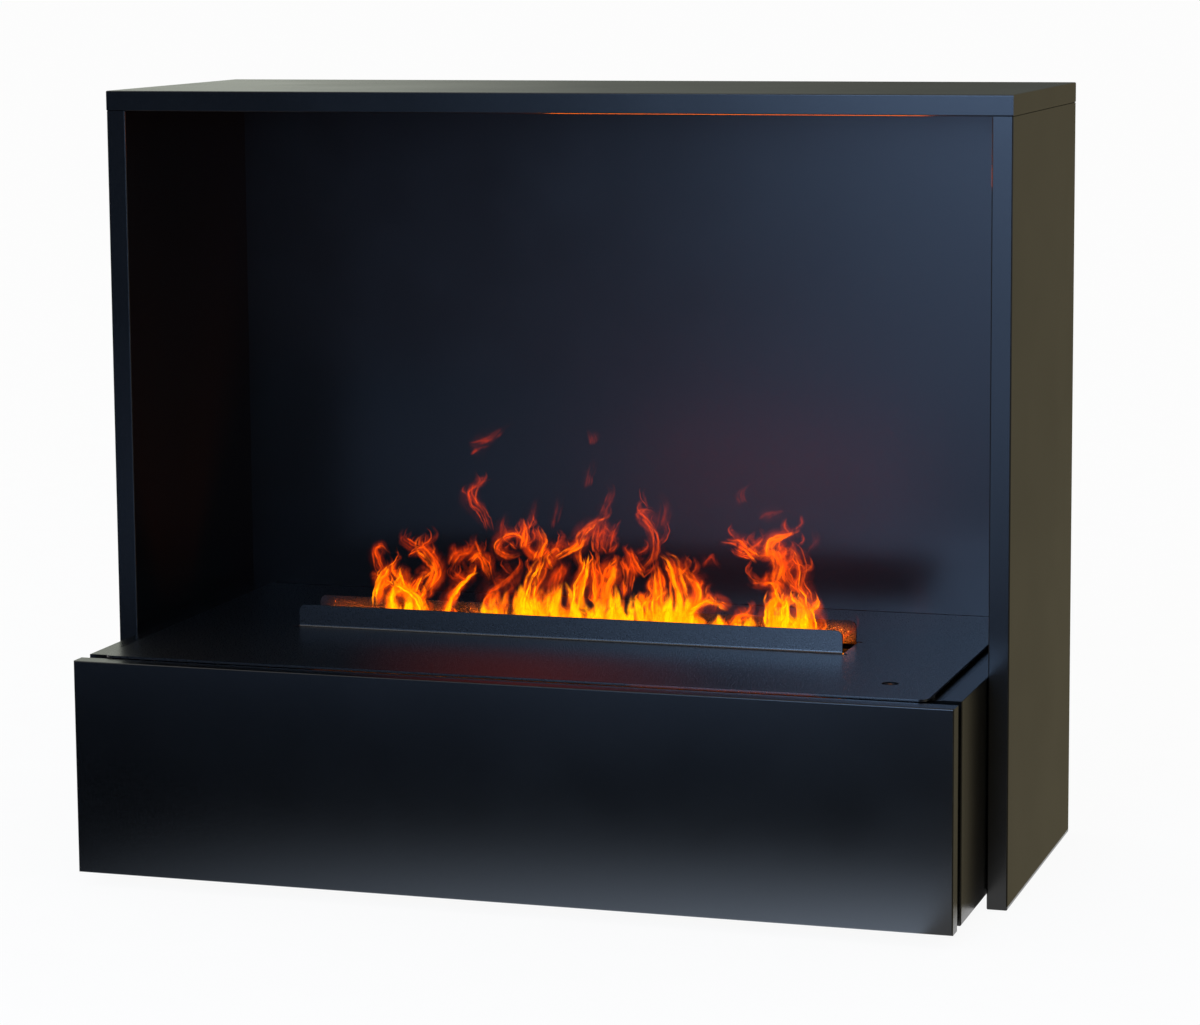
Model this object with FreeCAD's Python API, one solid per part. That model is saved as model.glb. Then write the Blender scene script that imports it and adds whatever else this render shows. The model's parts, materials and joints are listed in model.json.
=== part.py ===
import FreeCAD, Part
import math
import os

# Free-standing cabinet with a mist-flame burner in its hearth base.
# Millimetres. X runs across the width, -Y is the front, Z is up.
# The origin is the middle of the footprint, on the floor.

V = FreeCAD.Vector
RIGHT = V(1, 0, 0)
BACK = V(0, 1, 0)
UP = V(0, 0, 1)

# Cabinet boards
cabinet_width = 820.0
cabinet_height = 692.0
cabinet_depth = 294.0
board = 18.0
edge_round = 1.2
back_inset = 4.0

# Hearth base
base_reach = 136.0
base_lift = 12.0
base_height = 189.0
base_clearance = 0.5
inner_board = 15.0
inner_board_setback = 4.0
inner_board_drop = 11.0
floor_board = 16.0
cleat_width = 25.0
cleat_height = 20.0
cleat_end_gap = 12.0

# Furniture fasteners
bore_clearance = 0.05
dowel_radius = 4.0
dowel_length = 28.0
dowel_grip_in_top = 12.0
dowel_from_ends = 45.0
cam_radius = 7.5
cam_depth = 13.0
cam_setback = 24.0
cam_from_ends = 46.0
cam_slot_width = 2.0
cam_slot_depth = 2.5
top_cam_spacing = 460.0
cam_bolt_radius = 3.5
cam_bolt_grip = 11.0
cam_bolt_gap = 0.3
wood_screw_radius = 2.0
wood_screw_head = 4.0
base_screw_length = 28.0
corner_screw_length = 45.0
cleat_screw_length = 35.0
fascia_screw_length = 27.0
screw_from_ends = 30.0
fascia_screw_spacing = 400.0
pan_screw_radius = 1.5
pan_head_radius = 3.2
pan_head_height = 2.2
pan_head_crown = 2.0
pan_screw_grip = 11.0

# Hearth plate, a bent steel sheet
sheet = 2.0
plate_rise = 2.0
plate_play = 10.0
plate_shift = -4.0
plate_front_gap = 3.5
plate_back_gap = 1.5
plate_corner = 8.0
flap_height = 20.0
flap_end_gap = 17.5
flap_corner = 6.0
slot_width = 50.0
slot_setback = 89.0
slot_end_gap = 1.0
bend_radius = 2.0
relief_width = 5.0
relief_depth = 5.0
relief_corner = 1.25
button_hole_radius = 7.3
button_from_right = 44.5
button_from_front = 59.5
pad_radius = 6.0
pad_height = 3.0
pad_from_wall = 16.0
seat_gap = 0.3

# Burner tray and water basin
tray_sheet = 1.2
tray_side_room = 138.0
tray_front_reach = 131.2
tray_rear_reach = 73.2
tray_flange = 15.0
tray_drop = 13.0
tray_bend = 3.0
bumper_from_middle = 60.0
basin_wall = 3.0
basin_end_gap = 22.0
basin_front_reach = 118.0
basin_rear_reach = 60.0
basin_height = 70.0
basin_corner = 10.0
cover_thickness = 3.0
tray_screw_offset = 10.0
tray_screw_spacing = 120.0

# Ultrasonic heads
head_pitch = 44.0
head_rail_end_gap = 30.0
head_rail_width = 56.0
head_rail_height = 14.0
head_rail_corner = 7.0
disc_radius = 10.0
disc_thickness = 1.0
disc_pocket = 1.2
ring_outer = 15.0
ring_inner = 8.0
ring_thickness = 2.5

# Mist duct and its lights
duct_wall = 2.0
duct_end_gap = 5.0
duct_foot_width = 84.0
duct_flange = 12.0
duct_outlet_width = 30.0
duct_drop = 9.0
shelf_drop = 8.0
shelf_width = 64.0
light_bar_end_gap = 2.0
light_bar_width = 12.0
light_bar_thickness = 1.6
light_bar_offset = 24.5
chip_pitch = 20.0
chip_size = 5.0
chip_height = 1.4
diffuser_height = 7.0
diffuser_wall = 1.2
diffuser_round = 2.0

# Fans
fan_size = 60.0
fan_height = 20.0
fan_corner = 4.0
fan_setback = 86.5
fan_from_basin_end = 130.0
fan_bore_radius = 28.0
fan_screw_offset = 25.0
fan_floor = 3.0
fan_arm_width = 5.0
fan_arm_count = 3
motor_radius = 13.0
bearing_radius = 4.0
bearing_height = 12.0
shaft_radius = 1.5
shaft_clearance = 0.05
shaft_foot = 1.0
hub_radius = 14.0
hub_wall = 2.0
hub_foot = 5.0
hub_top = 16.0
blade_count = 7
blade_tip_radius = 26.8
blade_chord = 13.0
blade_thickness = 1.2
blade_angle = 38.0

# Level sensor
sensor_from_basin_end = 45.0
stem_radius = 3.0
stem_flange_radius = 11.0
stem_flange_height = 4.0
stem_bottom_gap = 9.0
stem_clip_radius = 6.0
stem_clip_height = 1.5
float_radius = 12.0
float_height = 16.0
float_round = 2.0
float_clearance = 0.08

# Water tank and feed
tank_width = 74.0
tank_length = 180.0
tank_height = 130.0
tank_wall = 3.0
tank_lid_thickness = 3.0
tank_round = 8.0
tank_from_base_board = 11.5
tank_from_front = 12.0
neck_radius = 17.0
neck_wall = 3.0
neck_height = 12.0
seal_height = 1.5
cap_radius = 21.0
cap_clearance = 0.4
cap_skirt = 11.0
cap_top = 3.5
cap_round = 1.2
cap_grip_count = 12
cap_grip_radius = 3.0
feed_height = 17.0
feed_spigot_radius = 6.0
feed_spigot_length = 25.0
feed_spigot_wall = 1.8
valve_width = 30.0
valve_length = 34.0
valve_height = 30.0
valve_corner = 3.0
valve_gap = 17.0
valve_coil_radius = 11.0
valve_coil_height = 26.0
nozzle_radius = 5.0
nozzle_bore = 3.0
nozzle_length = 18.0
hose_clearance = 0.05
hose_wall = 2.0
hose_overlap = 12.0
grommet_lip = 3.0
grommet_groove = 2.0
grommet_width = 5.2

# Electronics
supply_width = 60.0
supply_length = 160.0
supply_height = 40.0
supply_sheet = 1.2
supply_from_base_board = 23.5
supply_from_circuit = 16.0
supply_ear = 12.0
supply_slot_count = 8
supply_slot_pitch = 14.0
supply_slot_width = 4.0
supply_slot_length = 40.0
terminal_width = 50.0
terminal_length = 14.0
terminal_height = 18.0
terminal_lift = 4.0
terminal_count = 5
terminal_wall = 1.5
terminal_back = 5.0
terminal_step = 9.0
circuit_width = 70.0
circuit_length = 84.0
circuit_thickness = 1.6
circuit_lift = 12.0
circuit_from_base_board = 13.5
circuit_from_front = 12.0
spacer_radius = 3.5
spacer_inset = 5.0
component_inset = 10.0
relay_count = 2
relay_width = 18.0
relay_length = 15.0
relay_height = 15.0
relay_gap = 8.0
capacitor_count = 3
capacitor_pitch = 18.0
capacitor_radius = 5.0
capacitor_height = 16.0
processor_size = 12.0
processor_height = 2.0
header_length = 26.0
header_depth = 8.0
header_height = 10.0

# Push button under the hole in the plate
button_radius = 5.0
button_clearance = 0.08
button_recess = 0.5
button_travel = 1.5
button_bottom_gap = 1.0
button_round = 1.0
button_guide = 4.0
bezel_radius = 9.0
bezel_height = 3.0
barrel_radius = 7.0
barrel_length = 14.0
barrel_nut_radius = 10.0
barrel_nut_height = 3.0
bracket_sheet = 1.5
bracket_bend = 1.3
bracket_width = 40.0
bracket_leg = 42.0
bracket_past_button = 16.0
bracket_below_plate = 9.0
bracket_screw_spacing = 24.0

# Rear mains connection
inlet_from_right = 92.0
inlet_height = 92.0
inlet_plate_width = 100.0
inlet_plate_height = 56.0
inlet_plate_sheet = 1.5
inlet_rebate = 4.0
rebate_clearance = 1.0
inlet_opening_width = 80.0
inlet_opening_height = 40.0
inlet_offset = -18.0
socket_width = 27.6
socket_height = 20.0
socket_depth = 20.0
socket_wall = 1.8
socket_floor = 4.0
socket_chamfer = 4.5
socket_flange_width = 38.0
socket_flange_height = 28.0
socket_flange = 2.5
pin_width = 2.0
pin_height = 4.0
pin_length = 13.0
pin_spacing = 7.0
pin_stagger = 3.5
pin_tail = 8.0
switch_offset = 28.0
switch_width = 13.0
switch_height = 19.2
switch_depth = 16.0
switch_bezel = 1.5
switch_bezel_lip = 1.5
rocker_width = 9.6
rocker_radius = 7.2
rocker_ridge = 1.0
rocker_rise = 2.6
rocker_lean = 10.0
rocker_gap = 0.4
pivot_radius = 1.2
pivot_clearance = 0.05
lead_radius = 3.5
lead_bend = 16.0
lead_bend_share = 0.45
lead_drop_point = 32.0

# Air slots in the back panel
vent_count = 9
vent_pitch = 26.0
vent_width = 7.0
vent_length = 64.0
vent_height = 100.0

# Places worked out from the sizes above
half_width = cabinet_width / 2
inner_half = half_width - board
front_y = -(cabinet_depth + base_reach) / 2
cabinet_front = front_y + base_reach
rear_y = cabinet_front + cabinet_depth
back_rear = rear_y - back_inset
back_front = back_rear - board
top_bottom = cabinet_height - board
base_half = inner_half - base_clearance
base_inner = base_half - board
base_top = base_lift + base_height
fascia_back = front_y + board
base_front = fascia_back + inner_board
inner_board_top = base_top - inner_board_drop
floor_top = base_lift + floor_board
plate_top = base_top + plate_rise
plate_bottom = plate_top - sheet
plate_half = base_inner - plate_play / 2
plate_left = plate_shift - plate_half
plate_right = plate_shift + plate_half
plate_front = fascia_back + plate_front_gap
plate_back = back_front - plate_back_gap
cleat_top = plate_bottom - pad_height
slot_x = plate_shift
slot_y = cabinet_front + slot_setback
button_x = plate_right - button_from_right
button_y = plate_front + button_from_front
tray_half = half_width - tray_side_room
flap_half = tray_half - flap_end_gap
tray_top = plate_bottom - tray_drop
tray_front = slot_y - tray_front_reach
tray_rear = slot_y + tray_rear_reach
basin_foot = floor_top + tray_sheet
basin_top = basin_foot + basin_height
cover_top = basin_top + cover_thickness
basin_front = slot_y - basin_front_reach
basin_rear = slot_y + basin_rear_reach
basin_half = tray_half - basin_end_gap
basin_left = slot_x - basin_half
basin_right = slot_x + basin_half
head_rail_half = basin_half - head_rail_end_gap
head_count = 1 + int(2 * (head_rail_half - ring_outer) / head_pitch)
duct_half = basin_half - duct_end_gap
light_bar_half = duct_half - light_bar_end_gap
chip_count = 1 + int((2 * light_bar_half - chip_pitch) / chip_pitch)
duct_top = plate_bottom - duct_drop
shelf_top = duct_top - shelf_drop
bar_top = shelf_top + light_bar_thickness
fan_y = slot_y - fan_setback
fan_places = [basin_left + fan_from_basin_end, basin_right - fan_from_basin_end]
sensor_x = basin_right - sensor_from_basin_end
stem_bottom = basin_foot + basin_wall + stem_bottom_gap
tank_left = -base_inner + tank_from_base_board
tank_right = tank_left + tank_width
tank_x = (tank_left + tank_right) / 2
tank_front = base_front + tank_from_front
tank_rear = tank_front + tank_length
tank_top = floor_top + tank_height
tub_top = tank_top - tank_lid_thickness
neck_y = tank_front + tank_length / 2
neck_top = tank_top + neck_height
feed_z = floor_top + feed_height
valve_front = tank_rear + valve_gap
valve_y = valve_front + valve_length / 2
valve_right = tank_x + valve_width / 2
hose_inner = nozzle_radius + hose_clearance
hose_outer = hose_inner + hose_wall
supply_right = base_inner - supply_from_base_board
supply_left = supply_right - supply_width
circuit_right = base_inner - circuit_from_base_board
circuit_left = circuit_right - circuit_width
circuit_front = base_front + circuit_from_front
circuit_rear = circuit_front + circuit_length
circuit_bottom = floor_top + circuit_lift
supply_front = circuit_rear + supply_from_circuit
supply_rear = supply_front + supply_length
bracket_top = plate_bottom - bracket_below_plate
bracket_rear = button_y + bracket_past_button
inlet_x = inner_half - inlet_from_right
inlet_plate_front = back_rear - inlet_rebate
inlet_plate_rear = inlet_plate_front + inlet_plate_sheet
socket_x = inlet_x + inlet_offset
switch_x = inlet_x + switch_offset
pivot_y = inlet_plate_rear + switch_bezel - rocker_rise


def block(x0, x1, y0, y1, z0, z1):
    return Part.makeBox(x1 - x0, y1 - y0, z1 - z0, V(x0, y0, z0))


def rod(radius, base, direction, length):
    return Part.makeCylinder(radius, length, base, direction)


def pipe(outer, inner, base, direction, length):
    return rod(outer, base, direction, length).cut(rod(inner, base, direction, length))


def along(edge, direction):
    return abs(edge.tangentAt(edge.FirstParameter).dot(direction)) > 0.99


def rounded_along(solid, direction, radius):
    """Round the edges of a block that run along one direction."""
    return solid.makeFillet(radius, [edge for edge in solid.Edges if along(edge, direction)])


def laminated_board(x0, x1, y0, y1, z0, z1):
    """A board whose edge banding is rounded along both broad faces."""
    solid = block(x0, x1, y0, y1, z0, z1)
    spans = [(x1 - x0, RIGHT), (y1 - y0, BACK), (z1 - z0, UP)]
    through = min(spans, key=lambda span: span[0])[1]
    arrises = [edge for edge in solid.Edges if not along(edge, through)]
    return solid.makeFillet(edge_round, arrises)


def turned(points):
    """Solid of revolution about Z from radius and height points."""
    corners = [V(radius, 0, height) for radius, height in points]
    profile = Part.Face(Part.makePolygon(corners + corners[:1]))
    return profile.revolve(V(0, 0, 0), UP, 360)


def aimed(solid, place, direction):
    """Put a solid that was made about +Z at a place, pointing in a direction."""
    moved = solid.copy()
    moved.Placement = FreeCAD.Placement(place, FreeCAD.Rotation(UP, direction))
    return moved


def wood_screw(length, extra=0.0):
    """Countersunk screw: its head is flush at the origin and it points along +Z."""
    shank = wood_screw_radius + extra
    head = wood_screw_head + extra
    tip = length + extra
    return turned([(0, 0), (head, 0), (shank, head - shank), (shank, tip - shank), (0, tip)])


def pan_screw(length, extra=0.0):
    """Pan-head screw: the head stands behind the origin and the shank points along +Z."""
    shank = pan_screw_radius + extra
    tip = length + extra
    half = pan_head_height / 2
    return turned([(0, -pan_head_height), (pan_head_crown, -pan_head_height), (pan_head_radius, -half),
                   (pan_head_radius, 0), (shank, 0), (shank, tip), (0, tip)])


def screw_set(places, length):
    """The screws of one kind and the bores that take them."""
    screws = [aimed(wood_screw(length), place, way) for place, way in places]
    bores = [aimed(wood_screw(length, bore_clearance), place, way) for place, way in places]
    return screws, bores


def both_sides(x):
    return [(-1, -x), (1, x)]


def dowel_places():
    middle = (cabinet_front + rear_y) / 2
    rows = [cabinet_front + dowel_from_ends, middle, rear_y - dowel_from_ends]
    return [V(x, y, top_bottom) for _, x in both_sides(half_width - board / 2) for y in rows]


def dowels(extra=0.0):
    foot = dowel_grip_in_top - dowel_length
    length = dowel_length + 2 * extra
    radius = dowel_radius + extra
    return [rod(radius, place + V(0, 0, foot - extra), UP, length) for place in dowel_places()]


def cam_places():
    """Each cam's centre on the back panel's rear face and the way its bolt points."""
    low = base_lift + cam_from_ends
    high = top_bottom - cam_from_ends
    places = []
    for side, x in both_sides(inner_half - cam_setback):
        for z in (low, (low + high) / 2, high):
            places.append((V(x, back_rear, z), V(side, 0, 0)))
    for _, x in both_sides(top_cam_spacing / 2):
        places.append((V(x, back_rear, top_bottom - cam_setback), UP))
    return places


def cam_lock(place):
    disc = rod(cam_radius, place, -BACK, cam_depth)
    reach = cam_radius / 2
    half = cam_slot_width / 2
    slot = block(-reach, reach, -cam_slot_depth, 0, -half, half)
    slot = slot.fuse(block(-half, half, -cam_slot_depth, 0, -reach, reach))
    slot.translate(place)
    return disc.cut(slot)


def cam_bolt(place, way, start, extra=0.0):
    """Bolt in the middle of the back panel's thickness, from a start beside the cam's centre."""
    length = cam_setback - start + cam_bolt_grip + extra
    middle = place - BACK * (board / 2)
    return rod(cam_bolt_radius + extra, middle + way * start, way, length)


def cam_bores():
    bores = []
    for place, way in cam_places():
        bores.append(rod(cam_radius + bore_clearance, place, -BACK, cam_depth + bore_clearance))
        bores.append(cam_bolt(place, way, cam_radius / 2, bore_clearance))
    return bores


def base_screw_places():
    """Through the base boards into the cabinet's sides, from inside the base."""
    z = base_lift + base_height / 2
    rows = [cabinet_front + screw_from_ends, (cabinet_front + back_front) / 2, back_front - screw_from_ends]
    return [(V(x, y, z), V(side, 0, 0)) for side, x in both_sides(base_inner) for y in rows]


def corner_screw_places():
    """Through the base boards into the floor, and through the inner front board into the base boards."""
    places = []
    floor_middle = base_lift + floor_board / 2
    for side, x in both_sides(base_half):
        for y in (cabinet_front + screw_from_ends, back_front - screw_from_ends):
            places.append((V(x, y, floor_middle), V(-side, 0, 0)))
        for z in (base_lift + screw_from_ends, inner_board_top - screw_from_ends):
            places.append((V(x - side * board / 2, fascia_back, z), BACK))
    return places


def cleat_screw_places():
    rows = [base_front + cleat_end_gap + screw_from_ends, 0.0, back_front - cleat_end_gap - screw_from_ends]
    x = base_inner - cleat_width
    z = cleat_top - cleat_height / 2
    return [(V(place, y, z), V(side, 0, 0)) for side, place in both_sides(x) for y in rows]


def fascia_screw_places():
    rows = (base_lift + screw_from_ends, inner_board_top - screw_from_ends)
    columns = both_sides(fascia_screw_spacing / 2)
    return [(V(x, base_front, z), -BACK) for _, x in columns for z in rows]


def upright_slot(x, z, width, length):
    """Cutter for a round-ended slot through the back panel."""
    half = width / 2
    straight = length / 2 - half
    cutter = block(x - half, x + half, back_front, back_rear, z - straight, z + straight)
    for end in (z - straight, z + straight):
        cutter = cutter.fuse(rod(half, V(x, back_front, end), BACK, board))
    return cutter


def back_panel_cutters():
    cutters = []
    middle = (vent_count - 1) / 2
    for number in range(vent_count):
        x = slot_x + (number - middle) * vent_pitch
        cutters.append(upright_slot(x, vent_height, vent_width, vent_length))
    half = inlet_opening_width / 2
    tall = inlet_opening_height / 2
    cutters.append(block(inlet_x - half, inlet_x + half, back_front, back_rear,
                         inlet_height - tall, inlet_height + tall))
    half = inlet_plate_width / 2 + rebate_clearance
    tall = inlet_plate_height / 2 + rebate_clearance
    cutters.append(block(inlet_x - half, inlet_x + half, inlet_plate_front, back_rear,
                         inlet_height - tall, inlet_height + tall))
    for place in inlet_screw_places():
        cutters.append(aimed(pan_screw(pan_screw_grip, bore_clearance), place, -BACK))
    return cutters


def inlet_screw_places():
    half = (inlet_plate_width + inlet_opening_width) / 4
    return [V(inlet_x + side * half, inlet_plate_rear, inlet_height) for side in (-1, 1)]


def hearth_plate():
    """Steel sheet with an H-shaped cut whose two flaps are bent up along the slot."""
    plate = block(plate_left, plate_right, plate_front, plate_back, plate_bottom, plate_top)
    plate = rounded_along(plate, UP, plate_corner)
    bend_line = slot_width / 2 + sheet + bend_radius
    window_half = flap_half + slot_end_gap
    window = block(slot_x - window_half, slot_x + window_half,
                   slot_y - bend_line, slot_y + bend_line, plate_bottom, plate_top)
    plate = plate.cut(window)
    for side, x in both_sides(flap_half):
        near = slot_x + x
        far = near + side * relief_width
        for _, y in both_sides(bend_line):
            low = slot_y + y - relief_depth / 2
            relief = block(min(near, far), max(near, far), low, low + relief_depth, plate_bottom, plate_top)
            plate = plate.cut(rounded_along(relief, UP, relief_corner))
    plate = plate.cut(rod(button_hole_radius, V(button_x, button_y, plate_bottom), UP, sheet))
    for side, _ in both_sides(1):
        plate = plate.fuse(bent_flap(side))
    return plate.removeSplitter()


def bent_flap(side):
    """One flap with its bend: side -1 is the front flap and 1 the rear one."""
    outer_face = slot_width / 2 + sheet
    root = outer_face + bend_radius
    bend_z = plate_top + bend_radius
    tip = plate_top + flap_height
    half_turn = math.sqrt(0.5)

    def point(across, height):
        return V(slot_x - flap_half, slot_y + side * across, height)

    inner_mid = point(root - bend_radius * half_turn, bend_z - bend_radius * half_turn)
    large = bend_radius + sheet
    outer_mid = point(root - large * half_turn, bend_z - large * half_turn)
    edges = [
        Part.Arc(point(root, plate_top), inner_mid, point(outer_face, bend_z)).toShape(),
        Part.makeLine(point(outer_face, bend_z), point(outer_face, tip)),
        Part.makeLine(point(outer_face, tip), point(outer_face - sheet, tip)),
        Part.makeLine(point(outer_face - sheet, tip), point(outer_face - sheet, bend_z)),
        Part.Arc(point(outer_face - sheet, bend_z), outer_mid, point(root, plate_bottom)).toShape(),
        Part.makeLine(point(root, plate_bottom), point(root, plate_top)),
    ]
    flap = Part.Face(Part.Wire(edges)).extrude(RIGHT * (2 * flap_half))
    corners = [edge for edge in flap.Edges if along(edge, BACK) and edge.BoundBox.ZMin > tip - sheet]
    return flap.makeFillet(flap_corner, corners)


def cleat(side):
    inner = side * (base_inner - cleat_width)
    wall = side * base_inner
    return block(min(inner, wall), max(inner, wall), base_front + cleat_end_gap,
                 back_front - cleat_end_gap, cleat_top - cleat_height, cleat_top)


def plate_pads():
    """Rubber discs on the cleats that the plate lies on."""
    first = base_front + cleat_end_gap + 2 * pad_radius
    last = back_front - cleat_end_gap - 2 * pad_radius
    height = pad_height - seat_gap
    return [rod(pad_radius, V(x, y, cleat_top), UP, height)
            for _, x in both_sides(base_inner - pad_from_wall)
            for y in (first, (first + last) / 2, last)]


def tray_screw_places():
    low = slot_y - tray_screw_spacing / 2
    return [V(slot_x + x, y, basin_foot)
            for _, x in both_sides(basin_half + tray_screw_offset)
            for y in (low, low + tray_screw_spacing)]


def burner_tray():
    """Open sheet-metal tray with a rim folded outwards."""
    left = slot_x - tray_half
    right = slot_x + tray_half
    outer = block(left, right, tray_front, tray_rear, floor_top, tray_top)
    outer = rounded_along(outer, UP, tray_bend)
    rim = block(left - tray_flange, right + tray_flange, tray_front - tray_flange, tray_rear + tray_flange,
                tray_top - tray_sheet, tray_top)
    rim = rounded_along(rim, UP, tray_bend)
    inner = block(left + tray_sheet, right - tray_sheet, tray_front + tray_sheet, tray_rear - tray_sheet,
                  basin_foot, tray_top)
    inner = rounded_along(inner, UP, tray_bend - tray_sheet)
    tray = outer.fuse(rim).cut(inner)
    hose_hole = rod(hose_outer + grommet_groove, V(left, valve_y, feed_z), RIGHT, tray_sheet)
    tray = tray.cut(hose_hole)
    for place in tray_screw_places():
        tray = tray.cut(rod(pan_screw_radius + bore_clearance, place, -UP, tray_sheet))
    return tray.removeSplitter()


def tray_bumpers():
    """Rubber feet on the rim's ends that hold the plate's middle."""
    length = tray_drop - seat_gap
    offset = tray_half + tray_flange / 2
    return [rod(pad_radius, V(slot_x + x, slot_y + y, tray_top), UP, length)
            for _, x in both_sides(offset) for _, y in both_sides(bumper_from_middle)]


def mist_basin():
    outer = block(basin_left, basin_right, basin_front, basin_rear, basin_foot, basin_top)
    outer = rounded_along(outer, UP, basin_corner)
    inner = block(basin_left + basin_wall, basin_right - basin_wall, basin_front + basin_wall,
                  basin_rear - basin_wall, basin_foot + basin_wall, basin_top)
    inner = rounded_along(inner, UP, basin_corner - basin_wall)
    spigot_end = V(basin_left - hose_overlap, valve_y, feed_z)
    spigot = rod(nozzle_radius, spigot_end, RIGHT, hose_overlap + basin_wall / 2)
    bore = rod(nozzle_bore, spigot_end, RIGHT, hose_overlap + basin_wall)
    return outer.cut(inner).fuse(spigot).cut(bore).removeSplitter()


def basin_cover():
    cover = block(basin_left, basin_right, basin_front, basin_rear, basin_top, cover_top)
    cover = rounded_along(cover, UP, basin_corner)
    half = duct_half - duct_wall
    wide = duct_foot_width / 2 - duct_wall
    cover = cover.cut(block(slot_x - half, slot_x + half, slot_y - wide, slot_y + wide,
                            basin_top, cover_top))
    for x in fan_places:
        cover = cover.cut(rod(fan_bore_radius, V(x, fan_y, basin_top), UP, cover_thickness))
        for place in fan_screw_places(x):
            hole = V(place.x, place.y, basin_top)
            cover = cover.cut(rod(pan_screw_radius + bore_clearance, hole, UP, cover_thickness))
    return cover.cut(rod(stem_radius + bore_clearance, V(sensor_x, fan_y, basin_top), UP, cover_thickness))


def head_places():
    middle = (head_count - 1) / 2
    top = basin_foot + basin_wall + head_rail_height
    return [V(slot_x + (number - middle) * head_pitch, slot_y, top) for number in range(head_count)]


def head_rail():
    half = head_rail_half
    wide = head_rail_width / 2
    foot = basin_foot + basin_wall
    rail = block(slot_x - half, slot_x + half, slot_y - wide, slot_y + wide, foot, foot + head_rail_height)
    rail = rounded_along(rail, UP, head_rail_corner)
    for place in head_places():
        rail = rail.cut(rod(disc_radius + bore_clearance, place, -UP, disc_pocket))
    return rail


def head_discs():
    return [rod(disc_radius, place - UP * disc_pocket, UP, disc_thickness) for place in head_places()]


def head_rings():
    return [pipe(ring_outer, ring_inner, place, UP, ring_thickness) for place in head_places()]


def duct_panel(side):
    """Sloping front or rear panel of the duct, with a foot flange and a shelf for the lights."""
    foot = duct_foot_width / 2
    mouth = duct_outlet_width / 2
    slope = (mouth - foot) / (duct_top - cover_top)

    def point(across, height):
        return V(slot_x - duct_half, slot_y + side * across, height)

    def on_slope(height):
        return point(foot + slope * (height - cover_top), height)

    outline = [
        point(foot - duct_wall, cover_top),
        point(foot + duct_flange, cover_top),
        point(foot + duct_flange, cover_top + duct_wall),
        on_slope(cover_top + duct_wall),
        on_slope(shelf_top - duct_wall),
        point(shelf_width / 2, shelf_top - duct_wall),
        point(shelf_width / 2, shelf_top),
        on_slope(shelf_top),
        point(mouth, duct_top),
        point(mouth - duct_wall, duct_top),
    ]
    return Part.Face(Part.makePolygon(outline + outline[:1])).extrude(RIGHT * (2 * duct_half))


def duct_end(x):
    """Plate that closes one end of the duct between its two panels."""
    foot = duct_foot_width / 2 - duct_wall
    mouth = duct_outlet_width / 2 - duct_wall
    outline = [V(x, slot_y - foot, cover_top), V(x, slot_y + foot, cover_top),
               V(x, slot_y + mouth, duct_top), V(x, slot_y - mouth, duct_top)]
    return Part.Face(Part.makePolygon(outline + outline[:1])).extrude(RIGHT * duct_wall)


def mist_duct():
    """Hood of four sheets that narrows from the basin to the slot."""
    ends = (slot_x - duct_half, slot_x + duct_half - duct_wall)
    return [duct_panel(-1), duct_panel(1)] + [duct_end(x) for x in ends]


def light_bar(side):
    half = light_bar_half
    middle = slot_y + side * light_bar_offset
    wide = light_bar_width / 2
    return block(slot_x - half, slot_x + half, middle - wide, middle + wide, shelf_top, bar_top)


def light_chips():
    first = slot_x - (chip_count - 1) * chip_pitch / 2
    half = chip_size / 2
    chips = []
    for _, offset in both_sides(light_bar_offset):
        for number in range(chip_count):
            x = first + number * chip_pitch
            y = slot_y + offset
            chips.append(block(x - half, x + half, y - half, y + half, bar_top, bar_top + chip_height))
    return chips


def diffuser(side):
    """Amber channel that snaps over a light bar."""
    half = light_bar_half
    middle = slot_y + side * light_bar_offset
    wide = light_bar_width / 2
    shell = block(slot_x - half, slot_x + half, middle - wide, middle + wide,
                  bar_top, bar_top + diffuser_height)
    crown = [edge for edge in shell.Edges if along(edge, RIGHT) and edge.BoundBox.ZMin > bar_top]
    shell = shell.makeFillet(diffuser_round, crown)
    inside = wide - diffuser_wall
    return shell.cut(block(slot_x - half, slot_x + half, middle - inside, middle + inside,
                           bar_top, bar_top + diffuser_height - diffuser_wall))


def fan_screw_places(x):
    return [V(x + dx, fan_y + dy, cover_top + fan_height)
            for _, dx in both_sides(fan_screw_offset) for _, dy in both_sides(fan_screw_offset)]


def fan_housing(x):
    half = fan_size / 2
    frame = block(x - half, x + half, fan_y - half, fan_y + half, cover_top, cover_top + fan_height)
    frame = rounded_along(frame, UP, fan_corner)
    centre = V(x, fan_y, cover_top)
    frame = frame.cut(rod(fan_bore_radius, centre, UP, fan_height))
    arm = block(0, fan_bore_radius + hub_wall, -fan_arm_width / 2, fan_arm_width / 2, 0, fan_floor)
    for number in range(fan_arm_count):
        spoke = arm.copy()
        spoke.rotate(V(0, 0, 0), UP, 360.0 * number / fan_arm_count)
        spoke.translate(centre)
        frame = frame.fuse(spoke)
    frame = frame.fuse(rod(motor_radius, centre, UP, fan_floor))
    frame = frame.fuse(rod(bearing_radius, centre, UP, bearing_height))
    frame = frame.cut(rod(shaft_radius + shaft_clearance, centre, UP, bearing_height))
    for place in fan_screw_places(x):
        frame = frame.cut(rod(pan_screw_radius + bore_clearance, place, -UP, fan_height))
    return frame.removeSplitter()


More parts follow.
